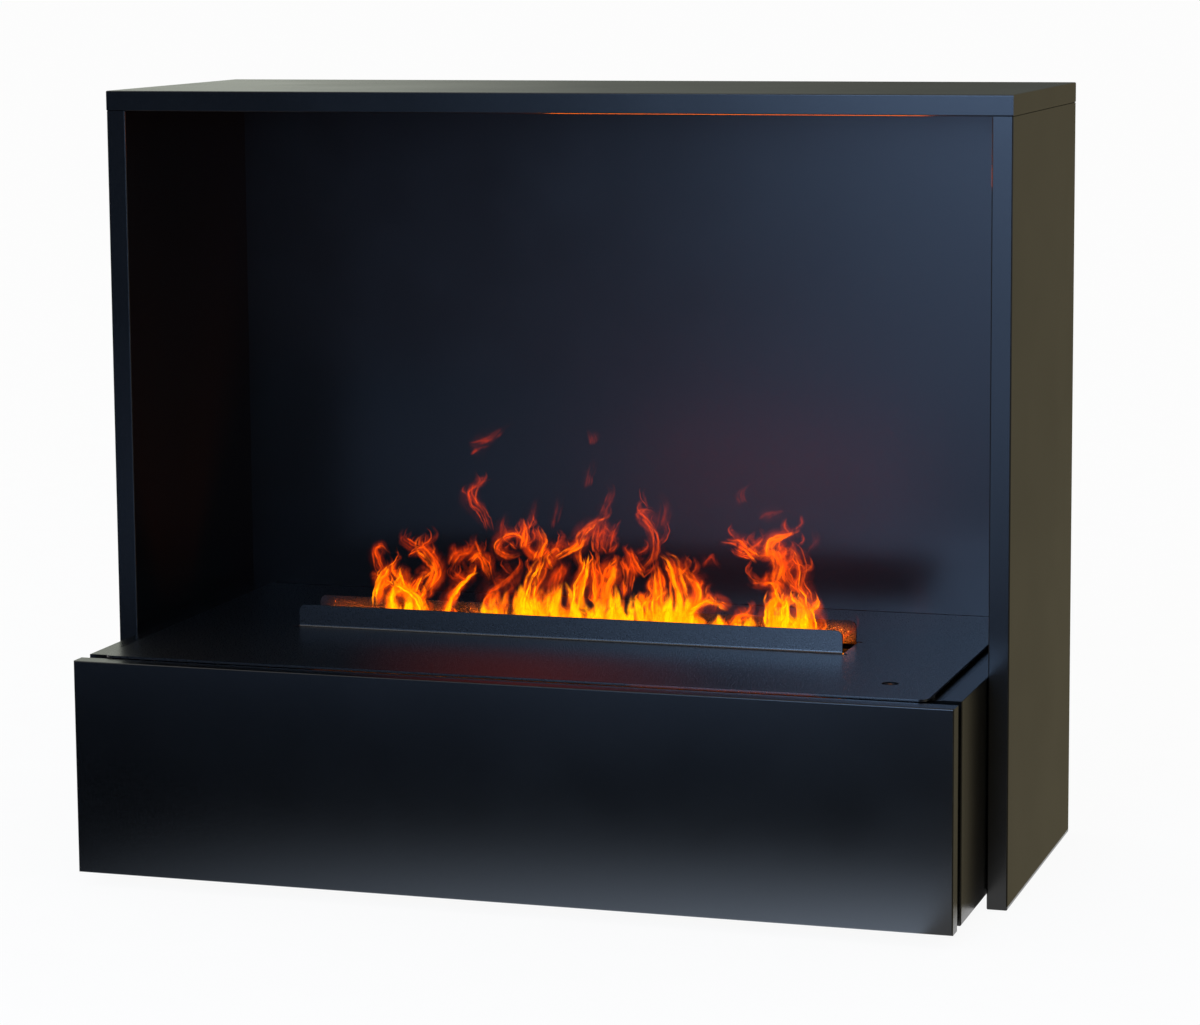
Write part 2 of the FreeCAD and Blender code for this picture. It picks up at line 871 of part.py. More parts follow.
def fan_rotor(x):
    """Cup-shaped hub on a shaft, with pitched blades."""
    hub = rod(hub_radius, V(0, 0, hub_foot), UP, hub_top - hub_foot)
    hub = hub.cut(rod(hub_radius - hub_wall, V(0, 0, hub_foot), UP, hub_top - hub_foot - hub_wall))
    rotor = hub.fuse(rod(shaft_radius, V(0, 0, shaft_foot), UP, hub_top - hub_wall - shaft_foot))
    middle = (hub_foot + hub_top) / 2
    root = hub_radius - hub_wall / 2
    half = blade_chord / 2
    thin = blade_thickness / 2
    blade = block(root, blade_tip_radius + blade_chord, -half, half, -thin, thin)
    blade.rotate(V(0, 0, 0), RIGHT, blade_angle)
    blade.translate(V(0, 0, middle))
    sweep = pipe(blade_tip_radius, root, V(0, 0, 0), UP, fan_height)
    blade = blade.common(sweep)
    for number in range(blade_count):
        vane = blade.copy()
        vane.rotate(V(0, 0, 0), UP, 360.0 * number / blade_count)
        rotor = rotor.fuse(vane)
    rotor.translate(V(x, fan_y, cover_top))
    return rotor.removeSplitter()


def float_stem():
    """Rod of the level sensor, hung from the basin cover, with a clip that stops the float."""
    stem = rod(stem_radius, V(sensor_x, fan_y, stem_bottom), UP, cover_top - stem_bottom)
    flange = rod(stem_flange_radius, V(sensor_x, fan_y, cover_top), UP, stem_flange_height)
    clip = rod(stem_clip_radius, V(sensor_x, fan_y, stem_bottom), UP, stem_clip_height)
    return stem.fuse(flange).fuse(clip).removeSplitter()


def level_float():
    foot = stem_bottom + stem_clip_height + seat_gap
    body = rod(float_radius, V(sensor_x, fan_y, foot), UP, float_height)
    rims = [edge for edge in body.Edges if not along(edge, UP)]
    body = body.makeFillet(float_round, rims)
    return body.cut(rod(stem_radius + float_clearance, V(sensor_x, fan_y, foot), UP, float_height))


def water_tank():
    """Moulded tub with a spigot at the rear, open at the top for its lid."""
    outer = block(tank_left, tank_right, tank_front, tank_rear, floor_top, tub_top)
    outer = rounded_along(outer, UP, tank_round)
    inner = block(tank_left + tank_wall, tank_right - tank_wall, tank_front + tank_wall,
                  tank_rear - tank_wall, floor_top + tank_wall, tub_top)
    inner = rounded_along(inner, UP, tank_round - tank_wall)
    spigot_root = V(tank_x, tank_rear - tank_wall, feed_z)
    spigot = rod(feed_spigot_radius, spigot_root, BACK, tank_wall + feed_spigot_length)
    bore = rod(feed_spigot_radius - feed_spigot_wall, spigot_root, BACK, tank_wall + feed_spigot_length)
    return outer.cut(inner).fuse(spigot).cut(bore).removeSplitter()


def tank_lid():
    """Lid welded on the tub, with the filler neck."""
    lid = block(tank_left, tank_right, tank_front, tank_rear, tub_top, tank_top)
    lid = rounded_along(lid, UP, tank_round)
    neck = rod(neck_radius, V(tank_x, neck_y, tank_top), UP, neck_height)
    mouth = rod(neck_radius - neck_wall, V(tank_x, neck_y, tub_top), UP, neck_top - tub_top)
    return lid.fuse(neck).cut(mouth).removeSplitter()


def cap_seal():
    return pipe(neck_radius, neck_radius - neck_wall, V(tank_x, neck_y, neck_top), UP, seal_height)


def filler_cap():
    """Quarter-turn cap with finger scallops round its skirt."""
    ceiling = neck_top + seal_height + seat_gap
    foot = ceiling - cap_skirt
    centre = V(tank_x, neck_y, foot)
    cap = rod(cap_radius, centre, UP, cap_skirt + cap_top)
    rim = [edge for edge in cap.Edges if edge.BoundBox.ZMin > ceiling]
    cap = cap.makeFillet(cap_round, rim[:1])
    cap = cap.cut(rod(neck_radius + cap_clearance, centre, UP, cap_skirt))
    for number in range(cap_grip_count):
        angle = 2 * math.pi * number / cap_grip_count
        reach = cap_radius + cap_grip_radius / 2
        place = centre + V(reach * math.cos(angle), reach * math.sin(angle), 0)
        cap = cap.cut(rod(cap_grip_radius, place, UP, cap_skirt + cap_top))
    return cap


def feed_valve():
    """Solenoid valve on the tank's spigot, with a nozzle towards the basin."""
    half = valve_width / 2
    body = block(tank_x - half, tank_x + half, valve_front, valve_front + valve_length,
                 floor_top, floor_top + valve_height)
    body = rounded_along(body, UP, valve_corner)
    coil_foot = V(tank_x, valve_y, floor_top + valve_height)
    body = body.fuse(rod(valve_coil_radius, coil_foot, UP, valve_coil_height))
    body = body.fuse(rod(nozzle_radius, V(tank_x, valve_y, feed_z), RIGHT, half + nozzle_length))
    socket_depth_in_valve = feed_spigot_length - valve_gap + seat_gap
    body = body.cut(rod(feed_spigot_radius + bore_clearance, V(tank_x, valve_front, feed_z), BACK,
                        socket_depth_in_valve))
    body = body.cut(rod(nozzle_bore, V(tank_x, valve_front, feed_z), BACK, valve_length / 2))
    body = body.cut(rod(nozzle_bore, V(tank_x, valve_y, feed_z), RIGHT, half + nozzle_length))
    return body.removeSplitter()


def feed_hose():
    start = valve_right + nozzle_length - hose_overlap
    return pipe(hose_outer, hose_inner, V(start, valve_y, feed_z), RIGHT, basin_left - seat_gap - start)


def hose_grommet():
    wall_x = slot_x - tray_half
    start = wall_x + tray_sheet / 2 - grommet_width / 2
    lip = hose_outer + grommet_groove + grommet_lip
    body = pipe(lip, hose_outer + bore_clearance, V(start, valve_y, feed_z), RIGHT, grommet_width)
    groove_start = V(wall_x - bore_clearance, valve_y, feed_z)
    groove = pipe(lip, hose_outer + grommet_groove - bore_clearance, groove_start,
                  RIGHT, tray_sheet + 2 * bore_clearance)
    return body.cut(groove)


def supply_screw_places():
    x = (supply_left + supply_right) / 2
    thickness = floor_top + supply_sheet
    return [V(x, supply_front - supply_ear / 2, thickness), V(x, supply_rear + supply_ear / 2, thickness)]


def power_supply():
    """Folded case with air slots in its lid and an ear at each end."""
    top = floor_top + supply_height
    case = block(supply_left, supply_right, supply_front, supply_rear, floor_top, top)
    ears = block(supply_left, supply_right, supply_front - supply_ear, supply_rear + supply_ear,
                 floor_top, floor_top + supply_sheet)
    inside = block(supply_left + supply_sheet, supply_right - supply_sheet, supply_front + supply_sheet,
                   supply_rear - supply_sheet, floor_top + supply_sheet, top - supply_sheet)
    case = case.fuse(ears).cut(inside)
    middle_x = (supply_left + supply_right) / 2
    middle_y = (supply_front + supply_rear) / 2
    for number in range(supply_slot_count):
        y = middle_y + (number - (supply_slot_count - 1) / 2) * supply_slot_pitch
        case = case.cut(block(middle_x - supply_slot_length / 2, middle_x + supply_slot_length / 2,
                              y - supply_slot_width / 2, y + supply_slot_width / 2, top - supply_sheet, top))
    for place in supply_screw_places():
        case = case.cut(rod(pan_screw_radius + bore_clearance, place, -UP, supply_sheet))
    return case.removeSplitter()


def supply_terminals():
    """Terminal block on the supply's rear end, a pocket for each wire."""
    x = (supply_left + supply_right) / 2
    foot = floor_top + supply_sheet + pan_head_height + terminal_lift
    strip = block(x - terminal_width / 2, x + terminal_width / 2, supply_rear, supply_rear + terminal_length,
                  foot, foot + terminal_height)
    pitch = terminal_width / terminal_count
    top = foot + terminal_height
    for number in range(terminal_count):
        left = x - terminal_width / 2 + pitch * number
        strip = strip.cut(block(left + terminal_wall, left + pitch - terminal_wall,
                                supply_rear + terminal_back, supply_rear + terminal_length,
                                foot + terminal_step, top))
    return strip


def spacer_places():
    columns = (circuit_left + spacer_inset, circuit_right - spacer_inset)
    rows = (circuit_front + spacer_inset, circuit_rear - spacer_inset)
    return [V(x, y, floor_top) for x in columns for y in rows]


def control_board():
    """Circuit board with relays, capacitors, a processor and a connector row."""
    top = circuit_bottom + circuit_thickness
    base = block(circuit_left, circuit_right, circuit_front, circuit_rear, circuit_bottom, top)
    for place in spacer_places():
        base = base.cut(rod(pan_screw_radius + bore_clearance, V(place.x, place.y, circuit_bottom), UP,
                            circuit_thickness))
    left = circuit_left + component_inset
    right = circuit_right - component_inset
    front = circuit_front + component_inset
    middle = (circuit_front + circuit_rear) / 2
    for number in range(relay_count):
        x = left + number * (relay_width + relay_gap)
        base = base.fuse(block(x, x + relay_width, front, front + relay_length, top, top + relay_height))
    row = circuit_rear - component_inset - capacitor_radius
    for number in range(capacitor_count):
        place = V(left + capacitor_radius + number * capacitor_pitch, row, top)
        base = base.fuse(rod(capacitor_radius, place, UP, capacitor_height))
    base = base.fuse(block(left, left + processor_size, middle, middle + processor_size,
                           top, top + processor_height))
    base = base.fuse(block(right - header_length, right, middle, middle + header_depth,
                           top, top + header_height))
    return base.removeSplitter()


def board_spacers():
    top = circuit_lift + circuit_thickness
    spacer = rod(spacer_radius, V(0, 0, 0), UP, circuit_lift)
    spacer = spacer.fuse(rod(pan_screw_radius, V(0, 0, circuit_lift), UP, circuit_thickness))
    spacer = spacer.fuse(rod(pan_head_radius, V(0, 0, top), UP, pan_head_height)).removeSplitter()
    return [aimed(spacer, place, UP) for place in spacer_places()]


def bracket_screw_places():
    z = bracket_top - bracket_leg / 2
    return [V(button_x + x, base_front + bracket_sheet, z) for _, x in both_sides(bracket_screw_spacing / 2)]


def button_bracket():
    """Bent strip on the inner front board that holds the button under the plate."""
    left = button_x - bracket_width / 2
    right = button_x + bracket_width / 2
    leg = block(left, right, base_front, base_front + bracket_sheet, bracket_top - bracket_leg, bracket_top)
    shelf = block(left, right, base_front, bracket_rear, bracket_top - bracket_sheet, bracket_top)
    strip = leg.fuse(shelf).removeSplitter()
    bend = [edge for edge in strip.Edges if along(edge, RIGHT)
            and edge.BoundBox.YMin < base_front + seat_gap
            and edge.BoundBox.ZMin > bracket_top - seat_gap]
    strip = strip.makeFillet(bracket_bend, bend)
    centre = V(button_x, button_y, bracket_top)
    strip = strip.cut(rod(barrel_radius + bore_clearance, centre, -UP, bracket_sheet))
    for place in bracket_screw_places():
        strip = strip.cut(rod(pan_screw_radius + bore_clearance, place, -BACK, bracket_sheet))
    return strip


def button_body():
    """Panel button's barrel, bezel and nut in one stationary piece."""
    centre = V(button_x, button_y, bracket_top)
    body = rod(barrel_radius, centre - UP * barrel_length, UP, barrel_length)
    body = body.fuse(rod(bezel_radius, centre, UP, bezel_height))
    nut_foot = bracket_top - bracket_sheet - barrel_nut_height
    corners = []
    for turn in range(6):
        angle = math.radians(60 * turn)
        reach = V(math.cos(angle), math.sin(angle), 0) * barrel_nut_radius
        corners.append(V(button_x, button_y, nut_foot) + reach)
    nut = Part.Face(Part.makePolygon(corners + corners[:1])).extrude(UP * barrel_nut_height)
    body = body.fuse(nut)
    guide_foot = bracket_top + bezel_height - button_guide - button_travel - button_bottom_gap
    guide_length = bracket_top + bezel_height - guide_foot
    guide = rod(button_radius + button_clearance, V(button_x, button_y, guide_foot), UP, guide_length)
    return body.cut(guide).removeSplitter()


def power_button():
    foot = bracket_top + bezel_height - button_guide
    top = plate_top - button_recess
    cap = rod(button_radius, V(button_x, button_y, foot), UP, top - foot)
    rim = [edge for edge in cap.Edges if edge.BoundBox.ZMin > top - button_round]
    return cap.makeFillet(button_round, rim[:1])


def inlet_plate():
    half = inlet_plate_width / 2
    tall = inlet_plate_height / 2
    plate = block(inlet_x - half, inlet_x + half, inlet_plate_front, inlet_plate_rear,
                  inlet_height - tall, inlet_height + tall)
    plate = rounded_along(plate, BACK, inlet_rebate)
    socket_half = socket_width / 2 + bore_clearance
    socket_tall = socket_height / 2 + bore_clearance
    plate = plate.cut(block(socket_x - socket_half, socket_x + socket_half,
                            inlet_plate_front, inlet_plate_rear,
                            inlet_height - socket_tall, inlet_height + socket_tall))
    switch_half = switch_width / 2 + bore_clearance
    switch_tall = switch_height / 2 + bore_clearance
    plate = plate.cut(block(switch_x - switch_half, switch_x + switch_half,
                            inlet_plate_front, inlet_plate_rear,
                            inlet_height - switch_tall, inlet_height + switch_tall))
    for place in inlet_screw_places():
        plate = plate.cut(rod(pan_screw_radius + bore_clearance, place, -BACK, inlet_plate_sheet))
    return plate


def mains_inlet():
    """Appliance inlet: flange, cup with two cut corners, open to the rear."""
    half = socket_width / 2
    tall = socket_height / 2
    deep = inlet_plate_rear - socket_depth
    face = inlet_plate_rear + socket_flange
    cup = block(socket_x - half, socket_x + half, deep, inlet_plate_rear,
                inlet_height - tall, inlet_height + tall)
    wide = socket_flange_width / 2
    high = socket_flange_height / 2
    flange = block(socket_x - wide, socket_x + wide, inlet_plate_rear, face, inlet_height - high,
                   inlet_height + high)
    flange = rounded_along(flange, BACK, socket_flange)
    well = block(socket_x - half + socket_wall, socket_x + half - socket_wall, deep + socket_floor, face,
                 inlet_height - tall + socket_wall, inlet_height + tall - socket_wall)
    upper = [edge for edge in well.Edges if along(edge, BACK) and edge.BoundBox.ZMin > inlet_height]
    well = well.makeChamfer(socket_chamfer, upper)
    inlet = cup.fuse(flange).cut(well)
    for pin in inlet_pins(bore_clearance):
        inlet = inlet.cut(pin)
    return inlet.removeSplitter()


def inlet_pins(extra=0.0):
    deep = inlet_plate_rear - socket_depth
    low = -pin_stagger / 2
    places = [(-pin_spacing, low), (pin_spacing, low), (0, -low)]
    pins = []
    for dx, dz in places:
        x = socket_x + dx
        z = inlet_height + dz
        half = pin_width / 2 + extra
        tall = pin_height / 2 + extra
        pins.append(block(x - half, x + half, deep - pin_tail, deep + socket_floor + pin_length,
                          z - tall, z + tall))
    return pins


def switch_housing():
    """Snap-in rocker switch body with a bezel and a pivot on each side wall."""
    half = switch_width / 2
    tall = switch_height / 2
    face = inlet_plate_rear + switch_bezel
    body = block(switch_x - half, switch_x + half, inlet_plate_rear - switch_depth, inlet_plate_rear,
                 inlet_height - tall, inlet_height + tall)
    bezel_half = half + switch_bezel_lip
    bezel_tall = tall + switch_bezel_lip
    bezel = block(switch_x - bezel_half, switch_x + bezel_half, inlet_plate_rear, face,
                  inlet_height - bezel_tall, inlet_height + bezel_tall)
    room_half = rocker_width / 2 + rocker_gap
    room_tall = rocker_radius + rocker_gap
    room = block(switch_x - room_half, switch_x + room_half, pivot_y - room_tall, face,
                 inlet_height - room_tall, inlet_height + room_tall)
    shell = body.fuse(bezel).cut(room)
    pin = rod(pivot_radius, V(switch_x - half, pivot_y, inlet_height), RIGHT, switch_width)
    return shell.fuse(pin).removeSplitter()


def mains_rocker():
    """Rocker with a dished face, leaning to its off side at rest."""
    drum = rod(rocker_radius, V(-rocker_width / 2, 0, 0), RIGHT, rocker_width)
    reach = 2 * rocker_radius
    crown = rocker_ridge + (rocker_rise - rocker_ridge) * reach / rocker_radius
    profile = [V(-reach, rocker_ridge, 0), V(-reach, crown, reach), V(-reach, reach * 2, reach),
               V(-reach, reach * 2, -reach), V(-reach, crown, -reach)]
    cutter = Part.Face(Part.makePolygon(profile + profile[:1])).extrude(RIGHT * (2 * reach))
    rocker = drum.cut(cutter)
    rocker = rocker.cut(rod(pivot_radius + pivot_clearance, V(-rocker_width / 2, 0, 0), RIGHT, rocker_width))
    rocker.rotate(V(0, 0, 0), RIGHT, -rocker_lean)
    rocker.translate(V(switch_x, pivot_y, inlet_height))
    return rocker


def mains_lead():
    """Inner lead from the inlet's tabs down to the supply's terminals."""
    tails = inlet_plate_rear - socket_depth - pin_tail
    start = V(socket_x, tails - seat_gap, inlet_height - pin_stagger / 2)
    end_z = floor_top + supply_sheet + pan_head_height + terminal_lift + terminal_height / 4
    x = (supply_left + supply_right) / 2
    end = V(x, supply_rear + terminal_length + seat_gap, end_z)
    upper = V(start.x, start.y - lead_drop_point, start.z)
    lower = V(end.x, end.y + lead_drop_point / 2, end.z)
    return swept_lead([start, upper, lower, end])


def swept_lead(points):
    """Round lead along straight runs joined by tangent arcs."""
    edges = []
    here = points[0]
    for before, corner, after in zip(points, points[1:], points[2:]):
        way_in = (corner - before).normalize()
        way_out = (after - corner).normalize()
        turn = way_in.getAngle(way_out)
        shorter = min((corner - before).Length, (after - corner).Length)
        cut = min(lead_bend * math.tan(turn / 2), lead_bend_share * shorter)
        first = corner - way_in * cut
        last = corner + way_out * cut
        inward = (way_out - way_in).normalize()
        radius = cut / math.tan(turn / 2)
        middle = corner + inward * (radius / math.cos(turn / 2) - radius)
        edges.append(Part.makeLine(here, first))
        edges.append(Part.Arc(first, middle, last).toShape())
        here = last
    edges.append(Part.makeLine(here, points[-1]))
    path = Part.Wire(edges)
    heading = (points[1] - points[0]).normalize()
    section = Part.Wire(Part.makeCircle(lead_radius, points[0], heading))
    return path.makePipeShell([section], True, False)


def pan_screws():
    """Every pan-head screw that holds the tray, the supply, the bracket and the fans."""
    screws = [aimed(pan_screw(pan_screw_grip), place, -UP) for place in tray_screw_places()]
    screws += [aimed(pan_screw(pan_screw_grip), place, -UP) for place in supply_screw_places()]
    screws += [aimed(pan_screw(pan_screw_grip), place, -BACK) for place in bracket_screw_places()]
    for x in fan_places:
        length = fan_height + cover_thickness
        screws += [aimed(pan_screw(length), place, -UP) for place in fan_screw_places(x)]
    return screws


def pan_bores(places, way):
    radius = pan_screw_radius + bore_clearance
    return [rod(radius, place, way, pan_screw_grip + bore_clearance) for place in places]


def boards():
    """All the boards, drilled for the fasteners that pass through them."""
    base_screws, base_bores = screw_set(base_screw_places(), base_screw_length)
    corner_screws, corner_bores = screw_set(corner_screw_places(), corner_screw_length)
    cleat_screws, cleat_bores = screw_set(cleat_screw_places(), cleat_screw_length)
    fascia_screws, fascia_bores = screw_set(fascia_screw_places(), fascia_screw_length)
    dowel_bores = dowels(bore_clearance)
    cam_holes = cam_bores()

    pieces = {}
    top = laminated_board(-half_width, half_width, cabinet_front, rear_y, top_bottom, cabinet_height)
    pieces["top_panel"] = top.cut(dowel_bores + cam_holes)
    for name, side in (("left", -1), ("right", 1)):
        outer = side * half_width
        inner = side * inner_half
        panel = laminated_board(min(outer, inner), max(outer, inner), cabinet_front, rear_y, 0, top_bottom)
        pieces[name + "_side_panel"] = panel.cut(dowel_bores + cam_holes + base_bores)
        outer = side * base_half
        inner = side * base_inner
        panel = laminated_board(min(outer, inner), max(outer, inner), base_front, back_front,
                                base_lift, base_top)
        pieces[name + "_base_board"] = panel.cut(base_bores + corner_bores + cleat_bores)
        pieces[name + "_cleat"] = cleat(side).cut(cleat_bores)
    panel = block(-inner_half, inner_half, back_front, back_rear, base_lift, top_bottom)
    pieces["back_panel"] = panel.cut(cam_holes + back_panel_cutters())
    panel = laminated_board(-base_half, base_half, front_y, fascia_back, base_lift, base_top)
    pieces["front_fascia"] = panel.cut(fascia_bores)
    inner_end = base_half - inner_board_setback
    panel = block(-inner_end, inner_end, fascia_back, base_front, base_lift, inner_board_top)
    bracket_bores = pan_bores(bracket_screw_places(), -BACK)
    pieces["inner_front_board"] = panel.cut(fascia_bores + corner_bores + bracket_bores)
    panel = block(-base_inner, base_inner, base_front, back_front, base_lift, floor_top)
    floor_bores = pan_bores(tray_screw_places() + supply_screw_places(), -UP)
    pieces["base_floor"] = panel.cut(corner_bores + floor_bores)
    pieces["base_screws"] = Part.makeCompound(base_screws + corner_screws)
    pieces["cleat_screws"] = Part.makeCompound(cleat_screws)
    pieces["fascia_screws"] = Part.makeCompound(fascia_screws)
    return pieces


def cabinet_fasteners():
    return {
        "panel_dowels": Part.makeCompound(dowels()),
        "cam_locks": Part.makeCompound([cam_lock(place) for place, _ in cam_places()]),
        "cam_bolts": Part.makeCompound([cam_bolt(place, way, cam_radius + cam_bolt_gap)
                                        for place, way in cam_places()]),
        "pan_screws": Part.makeCompound(pan_screws()),
        "inlet_screws": Part.makeCompound([aimed(pan_screw(pan_screw_grip), place, -BACK)
                                           for place in inlet_screw_places()]),
    }


def burner():
    return {
        "plate_pads": Part.makeCompound(plate_pads()),
        "hearth_plate": hearth_plate(),
        "burner_tray": burner_tray(),
        "tray_bumpers": Part.makeCompound(tray_bumpers()),
        "mist_basin": mist_basin(),
        "basin_cover": basin_cover(),
        "head_rail": head_rail(),
        "head_discs": Part.makeCompound(head_discs()),
        "head_rings": Part.makeCompound(head_rings()),
        "mist_duct": Part.makeCompound(mist_duct()),
        "front_light_bar": light_bar(-1),
        "rear_light_bar": light_bar(1),
        "light_chips": Part.makeCompound(light_chips()),
        "front_diffuser": diffuser(-1),
        "rear_diffuser": diffuser(1),
        "left_fan_housing": fan_housing(fan_places[0]),
        "right_fan_housing": fan_housing(fan_places[1]),
        "left_fan_rotor": fan_rotor(fan_places[0]),
        "right_fan_rotor": fan_rotor(fan_places[1]),
        "float_stem": float_stem(),
        "level_float": level_float(),
    }


def water_supply():
    return {
        "water_tank": water_tank(),
        "tank_lid": tank_lid(),
        "cap_seal": cap_seal(),
        "filler_cap": filler_cap(),
        "feed_valve": feed_valve(),
        "feed_hose": feed_hose(),
        "hose_grommet": hose_grommet(),
    }


def electronics():
    return {
        "power_supply": power_supply(),
        "supply_terminals": supply_terminals(),
        "control_board": control_board(),
        "board_spacers": Part.makeCompound(board_spacers()),
        "button_bracket": button_bracket(),
        "button_body": button_body(),
        "power_button": power_button(),
        "inlet_plate": inlet_plate(),
        "mains_inlet": mains_inlet(),
        "inlet_pins": Part.makeCompound(inlet_pins()),
        "switch_housing": switch_housing(),
        "mains_rocker": mains_rocker(),
        "mains_lead": mains_lead(),
    }


def main():
    os.makedirs("parts", exist_ok=True)
    for family in (boards(), cabinet_fasteners(), burner(), water_supply(), electronics()):
        for name, shape in family.items():
            shape.exportStep("parts/" + name + ".step")


main()
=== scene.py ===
import json
import math

import bmesh
import bpy
import numpy as np
from mathutils import Matrix, Vector


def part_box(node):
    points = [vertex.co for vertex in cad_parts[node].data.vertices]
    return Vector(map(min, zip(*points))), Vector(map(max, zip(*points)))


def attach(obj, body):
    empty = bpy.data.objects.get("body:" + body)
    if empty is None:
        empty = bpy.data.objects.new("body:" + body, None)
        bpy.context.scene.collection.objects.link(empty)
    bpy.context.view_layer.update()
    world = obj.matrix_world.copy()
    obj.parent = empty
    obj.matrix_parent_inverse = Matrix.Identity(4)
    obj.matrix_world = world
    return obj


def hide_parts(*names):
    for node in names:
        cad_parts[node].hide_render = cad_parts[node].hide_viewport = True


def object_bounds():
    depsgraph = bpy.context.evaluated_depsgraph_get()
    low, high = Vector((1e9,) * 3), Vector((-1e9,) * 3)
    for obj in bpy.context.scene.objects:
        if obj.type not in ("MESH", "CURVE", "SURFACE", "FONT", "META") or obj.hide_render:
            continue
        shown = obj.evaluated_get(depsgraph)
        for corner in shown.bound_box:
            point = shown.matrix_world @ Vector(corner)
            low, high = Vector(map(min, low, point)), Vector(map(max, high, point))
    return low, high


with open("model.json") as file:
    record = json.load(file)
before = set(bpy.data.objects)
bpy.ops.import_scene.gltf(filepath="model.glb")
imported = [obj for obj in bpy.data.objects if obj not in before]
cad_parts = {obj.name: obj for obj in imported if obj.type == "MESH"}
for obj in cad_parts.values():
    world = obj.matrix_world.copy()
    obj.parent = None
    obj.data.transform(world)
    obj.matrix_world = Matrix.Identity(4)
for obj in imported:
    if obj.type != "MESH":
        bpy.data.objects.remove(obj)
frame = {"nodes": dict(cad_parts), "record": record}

cad_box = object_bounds()


# Sizes, in metres

millimetre = 0.001
plate_sheet = 2 * millimetre
fire_start_depth = 8 * millimetre
fire_half_depth = 20 * millimetre
pan_head_radius = 3.2 * millimetre
pan_head_height = 2.2 * millimetre
pan_shank_radius = 1.5 * millimetre


# Places worked out from the frame

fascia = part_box("front_fascia")[1]
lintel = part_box("top_panel")[0]
back_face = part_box("back_panel")[0].y
plate_top = fascia.z + plate_sheet
duct_low, duct_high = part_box("mist_duct")
slot_x = (duct_low.x + duct_high.x) / 2
slot_y = (duct_low.y + duct_high.y) / 2
fire_base = duct_high.z - fire_start_depth


# Small helpers

def colour(code):
    """Linear colour, with full alpha, of an sRGB hex code."""
    shares = [int(code[start:start + 2], 16) / 255 for start in (1, 3, 5)]
    linear = [s / 12.92 if s <= 0.04045 else ((s + 0.055) / 1.055) ** 2.4 for s in shares]
    return (*linear, 1.0)


def add(tree, kind, settings=None, inputs=None):
    """Add a node: settings are its properties or ramp stops, inputs are values or other nodes' sockets."""
    node = tree.nodes.new(kind)
    for name, value in (settings or {}).items():
        if name == "stops":
            ramp = node.color_ramp
            while len(ramp.elements) < len(value):
                ramp.elements.new(1.0)
            for element, (place, code) in zip(ramp.elements, value):
                element.position = place
                element.color = colour(code)
        else:
            setattr(node, name, value)
    for name, value in (inputs or {}).items():
        if isinstance(value, bpy.types.NodeSocket):
            tree.links.new(value, node.inputs[name])
        else:
            node.inputs[name].default_value = value
    return node


def start_material(name):
    """An empty material's tree, with the Object coordinates that its patterns lie on."""
    material = bpy.data.materials.new(name)
    material.use_nodes = True
    tree = material.node_tree
    tree.nodes.clear()
    place = add(tree, "ShaderNodeTexCoord").outputs["Object"]
    return material, tree, place


def end_material(tree, shader):
    """Give a shader to the material's surface."""
    add(tree, "ShaderNodeOutputMaterial", inputs={"Surface": shader.outputs[0]})


def principled(material, tree, inputs):
    """End a material with one principled shader."""
    end_material(tree, add(tree, "ShaderNodeBsdfPrincipled", inputs=inputs))
    return material


def per_millimetre(size):
    """Texture scale that makes one feature of a pattern about this many millimetres wide."""
    return 1 / (size * millimetre)


def noise(tree, place, size, detail=2.0, **more):
    """Noise whose features are about this many millimetres wide."""
    return add(tree, "ShaderNodeTexNoise", inputs={
        "Vector": place, "Scale": per_millimetre(size), "Detail": detail, **more}).outputs[0]


def stretched(tree, place, scale):
    """Coordinates multiplied along each axis."""
    return add(tree, "ShaderNodeMapping", inputs={"Vector": place, "Scale": scale}).outputs[0]


def tinted(tree, value, *stops):
    """Colour that runs through the stops, each a place and a hex code, as the value grows."""
    return add(tree, "ShaderNodeValToRGB", {"stops": stops}, {"Fac": value}).outputs[0]


def changed(tree, value, start, end, first, last, manner="LINEAR"):
    """Strength that changes from first to last while the value runs from start to end."""
    return add(tree, "ShaderNodeMapRange", {"interpolation_type": manner}, {
        "Value": value, "From Min": start, "From Max": end, "To Min": first, "To Max": last}).outputs[0]


def between(tree, value, least, most):
    """A value from 0 to 1 as a strength between two limits."""
    return changed(tree, value, 0.0, 1.0, least, most)


def soft_step(tree, value, start, end, first=0.0, last=1.0):
    """A change that starts and ends softly."""
    return changed(tree, value, start, end, first, last, "SMOOTHSTEP")


def product(tree, one, other):
    """Two values multiplied."""
    return add(tree, "ShaderNodeMath", {"operation": "MULTIPLY"}, {0: one, 1: other}).outputs[0]


def relief(tree, height, strength, depth):
    """Normal of a surface that a pattern raises by up to this many millimetres."""
    return add(tree, "ShaderNodeBump", inputs={
        "Height": height, "Strength": strength, "Distance": depth * millimetre}).outputs[0]


# Finishes

def satin_black_laminate():
    """Melamine paper pressed on chipboard: nearly black, with a fine pearl speckle and a broad soft sheen."""
    material, tree, place = start_material("satin_black_laminate")
    speckle = noise(tree, place, 1.6, 3.0, Roughness=0.7)
    pores = noise(tree, place, 1.1)
    cloud = noise(tree, place, 90)
    return principled(material, tree, {
        "Base Color": tinted(tree, speckle, (0.36, "#040404"), (0.54, "#070707"), (0.74, "#121213")),
        "Roughness": between(tree, cloud, 0.20, 0.28),
        "Normal": relief(tree, pores, 0.10, 0.2)})


def black_powder_coat():
    """Baked powder on sheet steel: charcoal black with a fine orange peel and more sheen than the boards."""
    material, tree, place = start_material("black_powder_coat")
    peel = noise(tree, place, 1.4, 1.5)
    return principled(material, tree, {
        "Base Color": tinted(tree, peel, (0.35, "#040506"), (0.7, "#0b0c0f")),
        "Roughness": between(tree, peel, 0.24, 0.32),
        "Normal": relief(tree, peel, 0.12, 0.2),
        "IOR": 1.55, "Specular IOR Level": 1.0})


